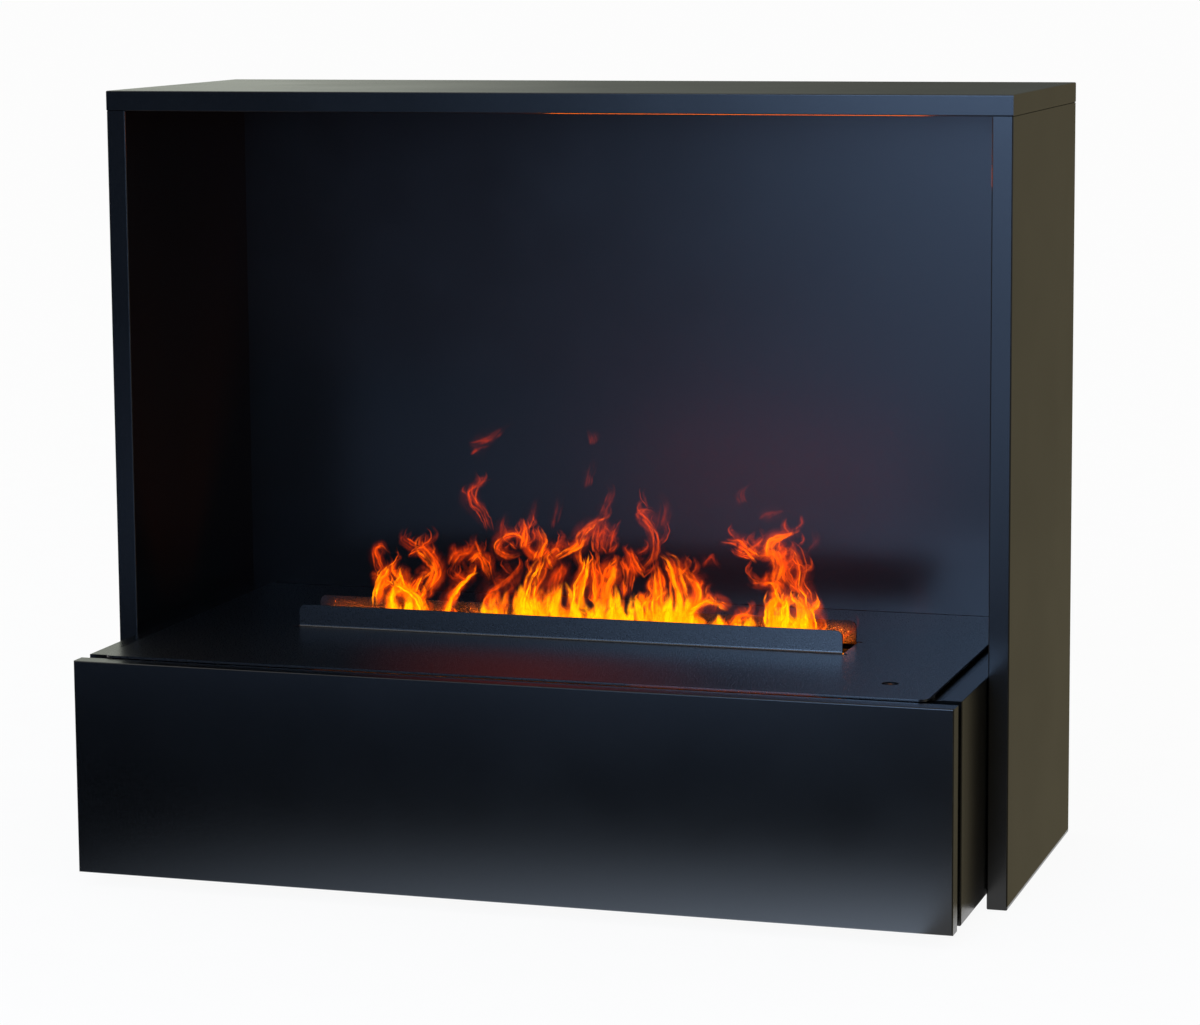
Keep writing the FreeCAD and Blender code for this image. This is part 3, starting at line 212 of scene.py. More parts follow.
def zinc_plated_steel():
    """Bright zinc on sheet and screws: pale grey metal with faint crystal patches."""
    material, tree, place = start_material("zinc_plated_steel")
    spangle = add(tree, "ShaderNodeTexVoronoi", inputs={"Vector": place, "Scale": per_millimetre(5)})
    scuff = noise(tree, place, 2, 4.0)
    return principled(material, tree, {
        "Base Color": tinted(tree, spangle.outputs["Color"], (0.0, "#9da1a6"), (1.0, "#c3c7cb")),
        "Roughness": between(tree, scuff, 0.24, 0.42),
        "Metallic": 1.0})


def moulded_plastic(name, dark, light, grain, roughness, glow_through=0.0):
    """Moulded plastic with a spark-eroded grain, which breaks its sheen into a soft grey."""
    material, tree, place = start_material(name)
    texture = noise(tree, place, grain, 3.0)
    return principled(material, tree, {
        "Base Color": tinted(tree, texture, (0.35, dark), (0.68, light)),
        "Roughness": between(tree, texture, roughness - 0.06, roughness + 0.08),
        "Normal": relief(tree, texture, 0.15, 0.1),
        "Subsurface Weight": glow_through, "Subsurface Scale": 2 * millimetre})


def button_with_painted_glow():
    """Black push button with a warm brown dot painted in its middle, a painted glow of light in its hole, in
    a dark ring.
    """
    low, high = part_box("power_button")
    middle = (low + high) / 2
    painted_glow_radius, ring_radius = 1.2 * millimetre, 3.2 * millimetre
    material, tree, place = start_material("black_button_with_painted_glow")
    axes = add(tree, "ShaderNodeSeparateXYZ", inputs={0: place})
    flat = add(tree, "ShaderNodeCombineXYZ", inputs={"X": axes.outputs["X"], "Y": axes.outputs["Y"]})
    reach = add(tree, "ShaderNodeVectorMath", {"operation": "DISTANCE"}, {
        0: flat.outputs[0], 1: (middle.x, middle.y, 0.0)})
    ring = soft_step(tree, reach.outputs["Value"], painted_glow_radius, ring_radius)
    grain = noise(tree, place, 0.9, 3.0)
    return principled(material, tree, {
        # Base colour: painted glow, warm brown in the middle, fading out to the button's own dark ring.
        "Base Color": tinted(tree, ring, (0.0, "#8a5526"), (0.5, "#2a160c"), (1.0, "#0b0706")),
        "Roughness": between(tree, grain, 0.45, 0.62),
        "Specular IOR Level": 0.2})


def drawn_metal(name, dark, light, draw, roughness):
    """Extruded or turned metal with fine lines along its length."""
    material, tree, place = start_material(name)
    lines = noise(tree, stretched(tree, place, draw), 0.8, 3.0)
    return principled(material, tree, {
        "Base Color": tinted(tree, lines, (0.3, dark), (0.7, light)),
        "Roughness": between(tree, lines, roughness - 0.07, roughness + 0.1),
        "Metallic": 1.0})


def beech():
    """Turned beech: warm tan with short darker flecks along the pin."""
    material, tree, place = start_material("beech")
    flecks = noise(tree, stretched(tree, place, (1.0, 1.0, 0.12)), 0.9, 3.0)
    return principled(material, tree, {
        "Base Color": tinted(tree, flecks, (0.35, "#a9794f"), (0.65, "#d3ab7d")),
        "Roughness": 0.6})


def lit_plastic(name, dark, light, grain, glow):
    """Plastic with a lamp behind or in it: the same grain colours both its face and its light."""
    material, tree, place = start_material(name)
    tint = tinted(tree, noise(tree, place, grain), (0.3, dark), (0.7, light))
    return principled(material, tree, {
        "Base Color": tint, "Roughness": 0.42, "Emission Color": tint, "Emission Strength": glow})


def silicone_hose():
    """Milky clear silicone tube: soft gloss, light passes through with a slight haze."""
    material, tree, place = start_material("silicone_hose")
    haze = noise(tree, place, 6)
    return principled(material, tree, {
        "Base Color": tinted(tree, haze, (0.3, "#c9d2d2"), (0.7, "#e6ecea")),
        "Roughness": between(tree, haze, 0.18, 0.32),
        "IOR": 1.41, "Transmission Weight": 0.6})


def solder_mask():
    """Green lacquer over copper tracks, with dark moulded components standing on it."""
    board_thickness, margin = 1.6 * millimetre, 0.05 * millimetre
    just_over_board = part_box("control_board")[0].z + board_thickness + margin
    share, first_colour, second_colour, mixed_colour = 0, 6, 7, 2
    material, tree, place = start_material("solder_mask")
    tracks = add(tree, "ShaderNodeTexBrick", inputs={
        "Vector": place, "Scale": per_millimetre(9), "Color1": colour("#0e4a33"), "Color2": colour("#0b3f2d"),
        "Mortar": colour("#2f7d57"), "Mortar Size": 0.05})
    height = add(tree, "ShaderNodeSeparateXYZ", inputs={0: place})
    above = add(tree, "ShaderNodeMath", {"operation": "GREATER_THAN"}, {
        0: height.outputs["Z"], 1: just_over_board})
    grain = noise(tree, place, 2, 3.0)
    cases = tinted(tree, grain, (0.3, "#141517"), (0.7, "#26282b"))
    tint = add(tree, "ShaderNodeMix", {"data_type": "RGBA"}, {
        share: above.outputs[0], first_colour: tracks.outputs["Color"], second_colour: cases})
    return principled(material, tree, {
        "Base Color": tint.outputs[mixed_colour], "Roughness": between(tree, grain, 0.25, 0.4)})


def lit_mist(name, fade):
    """Cool mist lit from below. A strand only adds red light to what is behind it, so that the fire is dull
    red where one strand thins out, orange where a few overlap and yellow where many stand in the slot."""
    material, tree, place = start_material(name)
    rise, across, seed, glow = [
        add(tree, "ShaderNodeAttribute", {"attribute_name": key}).outputs["Fac"]
        for key in ("rise", "across", "seed", "glow")]
    own_place = add(tree, "ShaderNodeCombineXYZ", inputs={"X": across, "Y": rise, "Z": seed})
    streaks = add(tree, "ShaderNodeTexNoise", inputs={
        "Vector": stretched(tree, own_place.outputs[0], (1.6, 2.2, 37.0)),
        "Scale": 1.3, "Detail": 3.0, "Roughness": 0.55, "Distortion": 0.9})
    streak = soft_step(tree, streaks.outputs[0], 0.32, 0.68, 0.3, 1.3)
    warmth = changed(tree, product(tree, streak, glow), 0.2, 4.0, 0.0, 1.0)
    tears = noise(tree, stretched(tree, place, (1.0, 0.6, 0.5)), 11, 3.0, Distortion=1.2)
    holes = soft_step(tree, tears, 0.36, 0.60, 0.15, 1.2)
    side = add(tree, "ShaderNodeMath", {"operation": "ABSOLUTE"}, {0: across})
    core = changed(tree, side.outputs[0], 0.0, 1.0, 0.19, 0.0, "SMOOTHERSTEP")
    foot = soft_step(tree, rise, 0.0, 0.2)
    tip = soft_step(tree, rise, fade, 1.0, 1.0, 0.0)
    cover = glow
    for share in (core, foot, tip, streak, holes):
        cover = product(tree, cover, share)
    material.cycles.emission_sampling = "NONE"
    return principled(material, tree, {
        "Base Color": colour("#000000"), "Roughness": 1.0, "Specular IOR Level": 0.0,
        "Emission Color": tinted(tree, warmth, (0.0, "#ff4401"), (0.3, "#ff6202"), (1.0, "#ff9803")),
        "Emission Strength": 2.4, "Alpha": cover})


# Geometry trees and the pieces that they make

def new_tree(name, inputs):
    """A geometry tree with its named inputs, and the node that gives them."""
    tree = bpy.data.node_groups.new(name, "GeometryNodeTree")
    tree.interface.new_socket("Geometry", in_out="INPUT", socket_type="NodeSocketGeometry")
    for label, kind in inputs:
        tree.interface.new_socket(label, in_out="INPUT", socket_type=kind)
    tree.interface.new_socket("Geometry", in_out="OUTPUT", socket_type="NodeSocketGeometry")
    return tree, add(tree, "NodeGroupInput")


def end_tree(tree, geometry, material):
    """Turn what a tree has made into plain faces with a finish."""
    real = add(tree, "GeometryNodeRealizeInstances", inputs={"Geometry": geometry})
    painted = add(tree, "GeometryNodeSetMaterial", inputs={
        "Geometry": real.outputs[0], "Material": material})
    add(tree, "NodeGroupOutput", inputs={0: painted.outputs[0]})


def made_by(tree, source, name, values):
    """Run a geometry tree on an object and keep the result as a plain mesh piece of its own."""
    modifier = source.modifiers.new("shape", "NODES")
    modifier.node_group = tree
    sockets = {s.name: s.identifier for s in tree.interface.items_tree if s.in_out == "INPUT"}
    for label, value in values.items():
        modifier[sockets[label]] = value
    evaluated = source.evaluated_get(bpy.context.evaluated_depsgraph_get())
    mesh = bpy.data.meshes.new_from_object(evaluated)
    source.modifiers.remove(modifier)
    bpy.data.objects.remove(source)
    return closed_piece(name, mesh)


def closed_piece(name, mesh):
    """A piece from a mesh of closed forms, with its faces turned outwards and shaded smooth."""
    work = bmesh.new()
    work.from_mesh(mesh)
    if work.calc_volume(signed=True) < 0:
        bmesh.ops.reverse_faces(work, faces=work.faces)
    work.to_mesh(mesh)
    work.free()
    mesh.shade_smooth()
    mesh.name = name
    piece = bpy.data.objects.new(name, mesh)
    bpy.context.scene.collection.objects.link(piece)
    return piece


# Flames of lit mist

def strand(points, heat, seed, aside=0.0, slim=1.0, share=1.0):
    """One strand of fire through chosen points: along the slot, height over the plate and width, in mm.
    It can lie aside by a share of its width, be slimmer or broader, and give a share of the light."""
    scatter, waver = 10, 1.5
    least_glow, heat_gain, foot_gain, cooling = 0.10, 4.6, 0.3, 0.7
    rng = np.random.default_rng(seed)
    along, height, width = np.array(points, float).T
    width = width * slim
    rise = np.linspace(0, 1, len(along))
    room = fire_half_depth / millimetre - width / 2
    across = np.clip(rng.uniform(-scatter, scatter) + rng.normal(0, waver, len(along)), -room, room)
    places = np.stack([along + aside * width, across, height], axis=1) * millimetre
    places = places + np.array([slot_x, slot_y, plate_top])
    glow = share * least_glow * np.exp(heat_gain * heat + foot_gain - cooling * rise)
    return places, width / 2 * millimetre, rise, glow, rng.uniform(0, 1)


def licks():
    """The licks of fire, roughly from left to right, each with its heat and the points of its strand."""
    return [
        (0.80, [(-188, 16, 5), (-187, 31, 8), (-184, 42, 9), (-176, 52, 9), (-169, 60, 4)]),
        (0.42, [(-184, 47, 5), (-188, 60, 6), (-190, 69, 7), (-183, 73, 6), (-177, 64, 3)]),
        (0.86, [(-144, 8, 9), (-150, 24, 10), (-160, 33, 9), (-170, 37, 7), (-180, 44, 3)]),
        (0.74, [(-161, 28, 8), (-167, 44, 8), (-164, 57, 3)]),
        (0.72, [(-156, 28, 6), (-150, 40, 7), (-144, 48, 3)]),
        (0.56, [(-147, 24, 6), (-135, 41, 10), (-132, 54, 11), (-139, 65, 9), (-147, 73, 8),
                (-148, 80, 6), (-140, 85, 3)]),
        (0.42, [(-144, 72, 5), (-152, 70, 6), (-158, 63, 3)]),
        (0.88, [(-176, 6, 11), (-176, 25, 9), (-171, 38, 3)]),
        (0.76, [(-125, 6, 10), (-119, 23, 9), (-110, 38, 7), (-100, 47, 8), (-92, 52, 3)]),
        (0.46, [(-103, 42, 4), (-111, 47, 6), (-118, 51, 2)]),
        (0.40, [(-116, 56, 6), (-110, 67, 10), (-100, 70, 10), (-92, 77, 4)]),
        (0.50, [(-98, 62, 6), (-89, 68, 9), (-83, 58, 10), (-79, 44, 5)]),
        (0.34, [(-78, 88, 3), (-86, 108, 6), (-95, 119, 9), (-96, 128, 9), (-88, 134, 7), (-79, 136, 3)]),
        (0.50, [(-86, 12, 10), (-82, 32, 13), (-70, 40, 14), (-58, 52, 11), (-52, 64, 5)]),
        (0.60, [(-44, 82, 5), (-50, 88, 6), (-60, 88, 7), (-70, 80, 8), (-70, 72, 9),
                (-60, 68, 8), (-48, 73, 6)]),
        (0.56, [(-50, 76, 7), (-46, 93, 7), (-48, 104, 3)]),
        (0.54, [(-36, 66, 9), (-30, 82, 9), (-35, 97, 3)]),
        (0.70, [(-46, 14, 10), (-42, 36, 9), (-36, 54, 8), (-27, 73, 6)]),
        (0.60, [(-22, 58, 8), (-26, 71, 10), (-18, 77, 9), (-9, 71, 4)]),
        (0.54, [(-16, 68, 8), (-4, 76, 10), (6, 82, 11), (11, 94, 9), (20, 102, 8), (29, 110, 3)]),
        (0.34, [(-20, 26, 16), (-15, 51, 17), (-7, 66, 8)]),
        (0.76, [(-1, 12, 12), (6, 43, 10), (11, 60, 8), (12, 72, 4)]),
        (0.64, [(24, 30, 8), (23, 52, 6), (20, 76, 3)]),
        (0.60, [(25, 30, 16), (31, 52, 19), (37, 66, 12), (40, 74, 4)]),
        (0.38, [(24, 76, 7), (23, 90, 10), (29, 108, 4)]),
        (0.38, [(32, 74, 7), (37, 92, 10), (44, 106, 3)]),
        (0.52, [(49, 36, 6), (51, 60, 7), (44, 74, 3)]),
        (0.46, [(66, 56, 8), (57, 72, 9), (54, 82, 4)]),
        (0.44, [(66, 60, 6), (76, 73, 6), (78, 85, 6), (75, 98, 6), (69, 107, 8),
                (63, 113, 8), (69, 116, 6), (78, 110, 3)]),
        (0.82, [(68, 12, 11), (68, 30, 9), (73, 44, 3)]),
        (0.80, [(82, 12, 15), (79, 37, 12), (79, 53, 9), (75, 68, 3)]),
        (0.70, [(102, 16, 15), (98, 42, 13), (95, 57, 11), (90, 70, 8), (82, 78, 3)]),
        (0.62, [(113, 28, 11), (117, 46, 12), (109, 58, 10), (97, 68, 4)]),
        (0.74, [(104, 20, 11), (121, 35, 12), (136, 34, 10), (147, 28, 4)]),
        (0.70, [(146, 12, 9), (155, 24, 8), (171, 23, 4)]),
        (0.88, [(185, 8, 13), (183, 30, 11), (186, 42, 4)]),
        (0.66, [(198, 34, 7), (192, 50, 10), (185, 55, 10), (174, 54, 8), (163, 55, 3)]),
        (0.90, [(197, 8, 11), (196, 33, 9), (200, 47, 3)]),
        (0.58, [(186, 55, 9), (192, 69, 12), (188, 80, 13), (176, 81, 10), (168, 77, 4)]),
        (0.50, [(174, 74, 7), (164, 85, 9), (154, 91, 8), (138, 91, 3)]),
        (0.50, [(168, 77, 5), (155, 80, 6), (147, 86, 3)]),
        (0.52, [(188, 76, 11), (186, 91, 12), (193, 97, 10), (202, 100, 8), (213, 104, 3)]),
        (0.60, [(219, 28, 9), (215, 45, 10), (209, 54, 9), (211, 66, 9), (209, 77, 9),
                (204, 86, 8), (195, 94, 4)]),
        (0.56, [(211, 46, 8), (202, 56, 9), (197, 65, 8), (195, 74, 3)]),
        (0.86, [(221, 8, 13), (218, 30, 11), (210, 44, 4)]),
        (0.90, [(209, 8, 10), (211, 32, 8), (208, 46, 3)]),
        (0.30, [(246, 2, 5), (248, 8, 4), (250, 15, 2)]),
    ]


def wisps():
    """Thin dull wisps that have parted from the fire, in the same form as the licks."""
    return [
        (0.30, [(-95, 171, 4), (-86, 172, 9), (-77, 176, 9), (-67, 184, 6), (-58, 190, 2)]),
        (0.16, [(-96, 160, 6), (-88, 166, 10), (-76, 168, 4)]),
        (0.22, [(-70, 84, 7), (-67, 98, 9), (-64, 110, 3)]),
        (0.20, [(-41, 97, 5), (-38, 112, 6), (-33, 126, 2)]),
        (0.16, [(-19, 95, 4), (-15, 112, 6), (-12, 130, 2)]),
        (0.26, [(26, 108, 6), (32, 120, 7), (36, 132, 6), (31, 140, 2)]),
        (0.18, [(12, 132, 4), (17, 149, 6), (22, 164, 2)]),
        (0.34, [(19, 172, 3), (19, 179, 6), (15, 188, 2)]),
        (0.26, [(120, 66, 4), (128, 76, 8), (132, 71, 8), (140, 64, 3)]),
        (0.14, [(158, 124, 4), (156, 134, 6), (166, 144, 2)]),
        (0.12, [(176, 112, 8), (188, 118, 12), (202, 119, 4)]),
        (0.14, [(216, 84, 5), (224, 96, 8), (220, 108, 3)]),
        (0.12, [(80, 96, 8), (86, 116, 12), (80, 136, 4)]),
    ]


def fire_strands(rows, seed, bright):
    """Each row as one broad dim veil, two strands of about its own width and many thin threads,
    of which a few are bright."""
    bodies, threads = 2, 8
    veil_width, veil_share, body_share = 2.6, 0.10, 0.25
    rng = np.random.default_rng(seed)
    strands = []
    for heat, points in rows:
        strands.append(strand(points, heat, seed + len(strands), 0.0, veil_width, veil_share * bright))
        for _ in range(bodies):
            strands.append(strand(points, heat, seed + len(strands), rng.uniform(-0.3, 0.3),
                                  rng.uniform(1.0, 1.7), body_share * bright))
        for _ in range(threads):
            strands.append(strand(points, heat, seed + len(strands), rng.uniform(-1.0, 1.0),
                                  rng.uniform(0.22, 0.5), bright * math.exp(rng.uniform(-1.8, 0.6))))
    return strands


def curl_strands(rows, seed):
    """Short curls that break off the sides of the rows, each as a dim strand with a brighter thread in it."""
    curls_per_row = 5
    dim_width, dim_share = 1.6, 0.30
    thread_width, thread_share = 0.5, 0.8
    rng = np.random.default_rng(seed)
    strands = []
    for heat, points in rows:
        for _ in range(curls_per_row):
            along, height, width = points[rng.integers(0, len(points) - 1)]
            length = rng.uniform(9, 22)
            bend = rng.choice((-1, 1)) * rng.uniform(0.2, 0.7) * length
            slim = rng.uniform(0.35, 0.8) * width
            curl = [(along, height, slim), (along + bend, height + 0.5 * length, 1.1 * slim),
                    (along + 0.6 * bend, height + length, 0.3 * slim)]
            cooler = heat - rng.uniform(0.05, 0.2)
            strands.append(strand(curl, cooler, seed + len(strands), 0.0, dim_width, dim_share))
            strands.append(strand(curl, cooler, seed + len(strands), rng.uniform(-0.3, 0.3),
                                  thread_width, thread_share))
    return strands


def bed_strands():
    """Short bright strands that stand in the slot, dense under the tall middle flames and few at the ends.
    Each stretch of the slot has its two ends, its count of strands and its tallest strand, in mm."""
    stretches = (
        (-76, 112, 90, 50),
        (-194, -140, 10, 34),
        (180, 224, 16, 40),
        (-112, -76, 4, 30),
        (112, 172, 9, 26),
    )
    shortest, tip_width = 22, 3
    bed_seed, first_strand_seed = 7, 3000
    rng = np.random.default_rng(bed_seed)
    strands = []
    for low, high, count, tallest in stretches:
        for base in rng.uniform(low, high, count):
            height = rng.uniform(shortest, tallest)
            width = rng.uniform(9, 17)
            lean = rng.normal(0, 4)
            points = [(base, 2, width), (base + lean, height * 0.6, width * 0.9),
                      (base + 2 * lean, height, tip_width)]
            strands.append(strand(points, rng.uniform(0.60, 0.92), first_strand_seed + len(strands)))
    return strands


def strand_lines(name, strands):
    """A mesh of edges along the strands, whose points carry what the sweep and the finish need."""
    places, widths, rises, glows, seeds = zip(*strands)
    counts = [len(place) for place in places]
    starts = np.cumsum([0] + counts)
    edges = [(i, i + 1) for a, b in zip(starts[:-1], starts[1:]) for i in range(a, b - 1)]
    mesh = bpy.data.meshes.new(name)
    mesh.from_pydata(np.concatenate(places).tolist(), edges, [])
    values = {
        "width": np.concatenate(widths),
        "rise": np.concatenate(rises),
        "glow": np.concatenate(glows),
        "seed": np.repeat(seeds, counts),
    }
    for key, value in values.items():
        mesh.attributes.new(key, "FLOAT", "POINT").data.foreach_set("value", value.astype(np.float32))
    lines = bpy.data.objects.new(name + "_lines", mesh)
    bpy.context.scene.collection.objects.link(lines)
    return lines


def strand_sweep():
    """Tree that bends each line smoothly, lets it flicker and sweeps a flat lens along it, as wide as the
    line's points say."""
    seed_spread = 40.0
    tree, start = new_tree("strand_sweep", [
        ("Steps", "NodeSocketInt"), ("Flicker", "NodeSocketFloat"), ("Flatness", "NodeSocketFloat"),
        ("Sides", "NodeSocketInt"), ("Finish", "NodeSocketMaterial")])
    line = add(tree, "GeometryNodeMeshToCurve", inputs={"Mesh": start.outputs["Geometry"]})
    bent = add(tree, "GeometryNodeCurveSplineType", {"spline_type": "CATMULL_ROM"}, {
        "Curve": line.outputs[0]})
    fine = add(tree, "GeometryNodeResampleCurve", inputs={
        "Curve": bent.outputs[0], "Count": start.outputs["Steps"]})
    seed = add(tree, "GeometryNodeInputNamedAttribute", {"data_type": "FLOAT"}, {"Name": "seed"})
    moment = product(tree, seed.outputs[0], seed_spread)
    gust = add(tree, "ShaderNodeTexNoise", {"noise_dimensions": "4D"}, {
        "W": moment, "Scale": per_millimetre(22), "Detail": 4.0, "Roughness": 0.6})
    centred = add(tree, "ShaderNodeVectorMath", {"operation": "SUBTRACT"}, {
        0: gust.outputs["Color"], 1: (0.5, 0.5, 0.5)})
    blown = add(tree, "ShaderNodeVectorMath", {"operation": "SCALE"}, {
        0: centred.outputs[0], "Scale": start.outputs["Flicker"]})
    moved = add(tree, "GeometryNodeSetPosition", inputs={
        "Geometry": fine.outputs[0], "Offset": blown.outputs[0]})
    facing = add(tree, "GeometryNodeSetCurveNormal", {"mode": "FREE"}, {
        "Curve": moved.outputs[0], "Normal": (0.0, 1.0, 0.0)})
    width = add(tree, "GeometryNodeInputNamedAttribute", {"data_type": "FLOAT"}, {"Name": "width"})
    circle = add(tree, "GeometryNodeCurvePrimitiveCircle", inputs={
        "Resolution": start.outputs["Sides"], "Radius": 1.0})
    position = add(tree, "GeometryNodeInputPosition")
    split = add(tree, "ShaderNodeSeparateXYZ", inputs={0: position.outputs[0]})
    marked = add(tree, "GeometryNodeStoreNamedAttribute", {"data_type": "FLOAT"}, {
        "Geometry": circle.outputs[0], "Name": "across", "Value": split.outputs["Y"]})
    squeeze = add(tree, "ShaderNodeCombineXYZ", inputs={"X": start.outputs["Flatness"], "Y": 1.0, "Z": 1.0})
    lens = add(tree, "GeometryNodeTransform", inputs={
        "Geometry": marked.outputs[0], "Scale": squeeze.outputs[0]})
    swept = add(tree, "GeometryNodeCurveToMesh", inputs={
        "Curve": facing.outputs[0], "Profile Curve": lens.outputs[0], "Scale": width.outputs[0],
        "Fill Caps": True})
    end_tree(tree, swept.outputs[0], start.outputs["Finish"])
    return tree


def build_fire():
    """The fire's four pieces: the bed in the slot, the tongues over it, the curls on them and loose wisps."""
    steps, sides, flatness = 26, 6, 0.4
    flame_fade, wisp_fade = 0.55, 0.2
    sweep = strand_sweep()
    flame = lit_mist("lit_mist", flame_fade)
    thin = lit_mist("thin_lit_mist", wisp_fade)
    for name, strands, finish, flicker in (
            ("fire_bed", bed_strands(), flame, 3.0),
            ("fire_tongues", fire_strands(licks(), seed=1000, bright=0.85), flame, 12.0),
            ("fire_curls", curl_strands(licks(), seed=9000), flame, 12.0),
            ("fire_wisps", fire_strands(wisps(), seed=5000, bright=0.35), thin, 9.0)):
        piece = made_by(sweep, strand_lines(name, strands), name, {
            "Steps": steps, "Flicker": flicker * millimetre, "Flatness": flatness, "Sides": sides,
            "Finish": finish})
        piece.visible_glossy = False
        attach(piece, "cabinet")


# Pan-head screws with a cross recess, in place of the plain ones

def separate_forms(node):
    """Corner points of each separate solid in a node's mesh."""
    same_place = 0.001 * millimetre
    work = bmesh.new()
    work.from_mesh(frame["nodes"][node].data)
    bmesh.ops.remove_doubles(work, verts=work.verts, dist=same_place)
    found = set()
    forms = []
    for first in work.verts:
        if first in found:
            continue
        found.add(first)
        waiting = [first]
        form = []
        while waiting:
            corner = waiting.pop()
            form.append(tuple(corner.co))
            for edge in corner.link_edges:
                other = edge.other_vert(corner)
                if other not in found:
                    found.add(other)
                    waiting.append(other)
        forms.append(np.array(form))
    work.free()
    return forms


def screw_seats(name, node):
    """Points under the screws' heads, each with the way that its screw is driven and its shank's length."""
    seats, ways, lengths = [], [], []
    rim = pan_head_radius - 0.1 * millimetre
    for form in separate_forms(node):
        low, high = form.min(axis=0), form.max(axis=0)
        middle = (low + high) / 2
        axis = int(np.argmax(high - low))
        aside = np.delete(form - middle, axis, axis=1)
        head = form[np.linalg.norm(aside, axis=1) > rim]
        way = np.zeros(3)
        way[axis] = np.sign(middle[axis] - head[:, axis].mean())
        seat = middle.copy()
        seat[axis] = head[:, axis].max() if way[axis] > 0 else head[:, axis].min()
        seats.append(seat.tolist())
        ways.append(way)
        lengths.append((high - low)[axis] - pan_head_height)
    mesh = bpy.data.meshes.new(name)
    mesh.from_pydata(seats, [], [])
    mesh.attributes.new("aim", "FLOAT_VECTOR", "POINT").data.foreach_set("vector", np.concatenate(ways))
    mesh.attributes.new("length", "FLOAT", "POINT").data.foreach_set("value", lengths)
    points = bpy.data.objects.new(name + "_seats", mesh)
    bpy.context.scene.collection.objects.link(points)
    return points


def cross_recess_screw():
    """Tree that sets a screw on each seat: a domed head with a cross recess and a shank ahead of it."""
    tree, start = new_tree("cross_recess_screw", [
        ("Head Radius", "NodeSocketFloat"), ("Head Height", "NodeSocketFloat"),
        ("Crown Radius", "NodeSocketFloat"), ("Shank Radius", "NodeSocketFloat"),
        ("Recess", "NodeSocketVector"), ("Finish", "NodeSocketMaterial")])

    def lifted(geometry, height):
        """Geometry moved along the screw's axis."""
        offset = add(tree, "ShaderNodeCombineXYZ", inputs={"Z": height})
        return add(tree, "GeometryNodeTransform", inputs={
            "Geometry": geometry, "Translation": offset.outputs[0]})

    disc = add(tree, "GeometryNodeMeshCylinder", inputs={
        "Vertices": 32, "Radius": start.outputs["Head Radius"], "Depth": start.outputs["Head Height"]})
    head = lifted(disc.outputs[0], product(tree, start.outputs["Head Height"], -0.5))
    ball = add(tree, "GeometryNodeMeshUVSphere", inputs={
        "Segments": 32, "Rings": 48, "Radius": start.outputs["Crown Radius"]})
    ball_lift = add(tree, "ShaderNodeMath", {"operation": "SUBTRACT"}, {
        0: start.outputs["Crown Radius"], 1: start.outputs["Head Height"]})
    crown = lifted(ball.outputs[0], ball_lift.outputs[0])
    domed = add(tree, "GeometryNodeMeshBoolean", {"operation": "INTERSECT"})
    for form in (head, crown):
        tree.links.new(form.outputs[0], domed.inputs["Mesh 2"])
    top = product(tree, start.outputs["Head Height"], -1.0)
    recessed = add(tree, "GeometryNodeMeshBoolean", {"operation": "DIFFERENCE"}, {"Mesh 1": domed.outputs[0]})
    for quarter in (0.0, math.pi / 2):
        bar = add(tree, "GeometryNodeMeshCube", inputs={"Size": start.outputs["Recess"]})
        turned = add(tree, "GeometryNodeTransform", inputs={
            "Geometry": bar.outputs[0], "Rotation": (0.0, 0.0, quarter)})
        tree.links.new(lifted(turned.outputs[0], top).outputs[0], recessed.inputs["Mesh 2"])
    rod = add(tree, "GeometryNodeMeshCylinder", inputs={
        "Vertices": 20, "Radius": start.outputs["Shank Radius"], "Depth": 1.0})
    shank = lifted(rod.outputs[0], 0.5)
    aim = add(tree, "GeometryNodeInputNamedAttribute", {"data_type": "FLOAT_VECTOR"}, {"Name": "aim"})
    turn = add(tree, "FunctionNodeAlignRotationToVector", {"axis": "Z"}, {"Vector": aim.outputs[0]})
    length = add(tree, "GeometryNodeInputNamedAttribute", {"data_type": "FLOAT"}, {"Name": "length"})
    stretch = add(tree, "ShaderNodeCombineXYZ", inputs={"X": 1.0, "Y": 1.0, "Z": length.outputs[0]})
    seats = add(tree, "GeometryNodeMeshToPoints", inputs={"Mesh": start.outputs["Geometry"]})
    heads = add(tree, "GeometryNodeInstanceOnPoints", inputs={
        "Points": seats.outputs[0], "Instance": recessed.outputs[0], "Rotation": turn.outputs[0]})
    shanks = add(tree, "GeometryNodeInstanceOnPoints", inputs={
        "Points": seats.outputs[0], "Instance": shank.outputs[0], "Rotation": turn.outputs[0],
        "Scale": stretch.outputs[0]})
    screws = add(tree, "GeometryNodeJoinGeometry")
    for form in (heads, shanks):
        tree.links.new(form.outputs[0], screws.inputs[0])
    end_tree(tree, screws.outputs[0], start.outputs["Finish"])
    return tree


def build_screws(finish):
    """Screws with a cross recess for the back panel and the mains plate."""
    crown_radius = 1.9 * pan_head_radius
    recess = (1.3 * pan_head_radius, 0.26 * pan_head_radius, pan_head_height)
    tree = cross_recess_screw()
    for node in ("pan_screws", "inlet_screws"):
        name = node.replace("screws", "screw_heads")
        piece = made_by(tree, screw_seats(name, node), name, {
            "Head Radius": pan_head_radius, "Head Height": pan_head_height, "Crown Radius": crown_radius,
            "Shank Radius": pan_shank_radius, "Recess": recess, "Finish": finish})
        piece.data.shade_flat()
        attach(piece, "cabinet")
        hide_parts(node)


# Finishes on the carried-over nodes

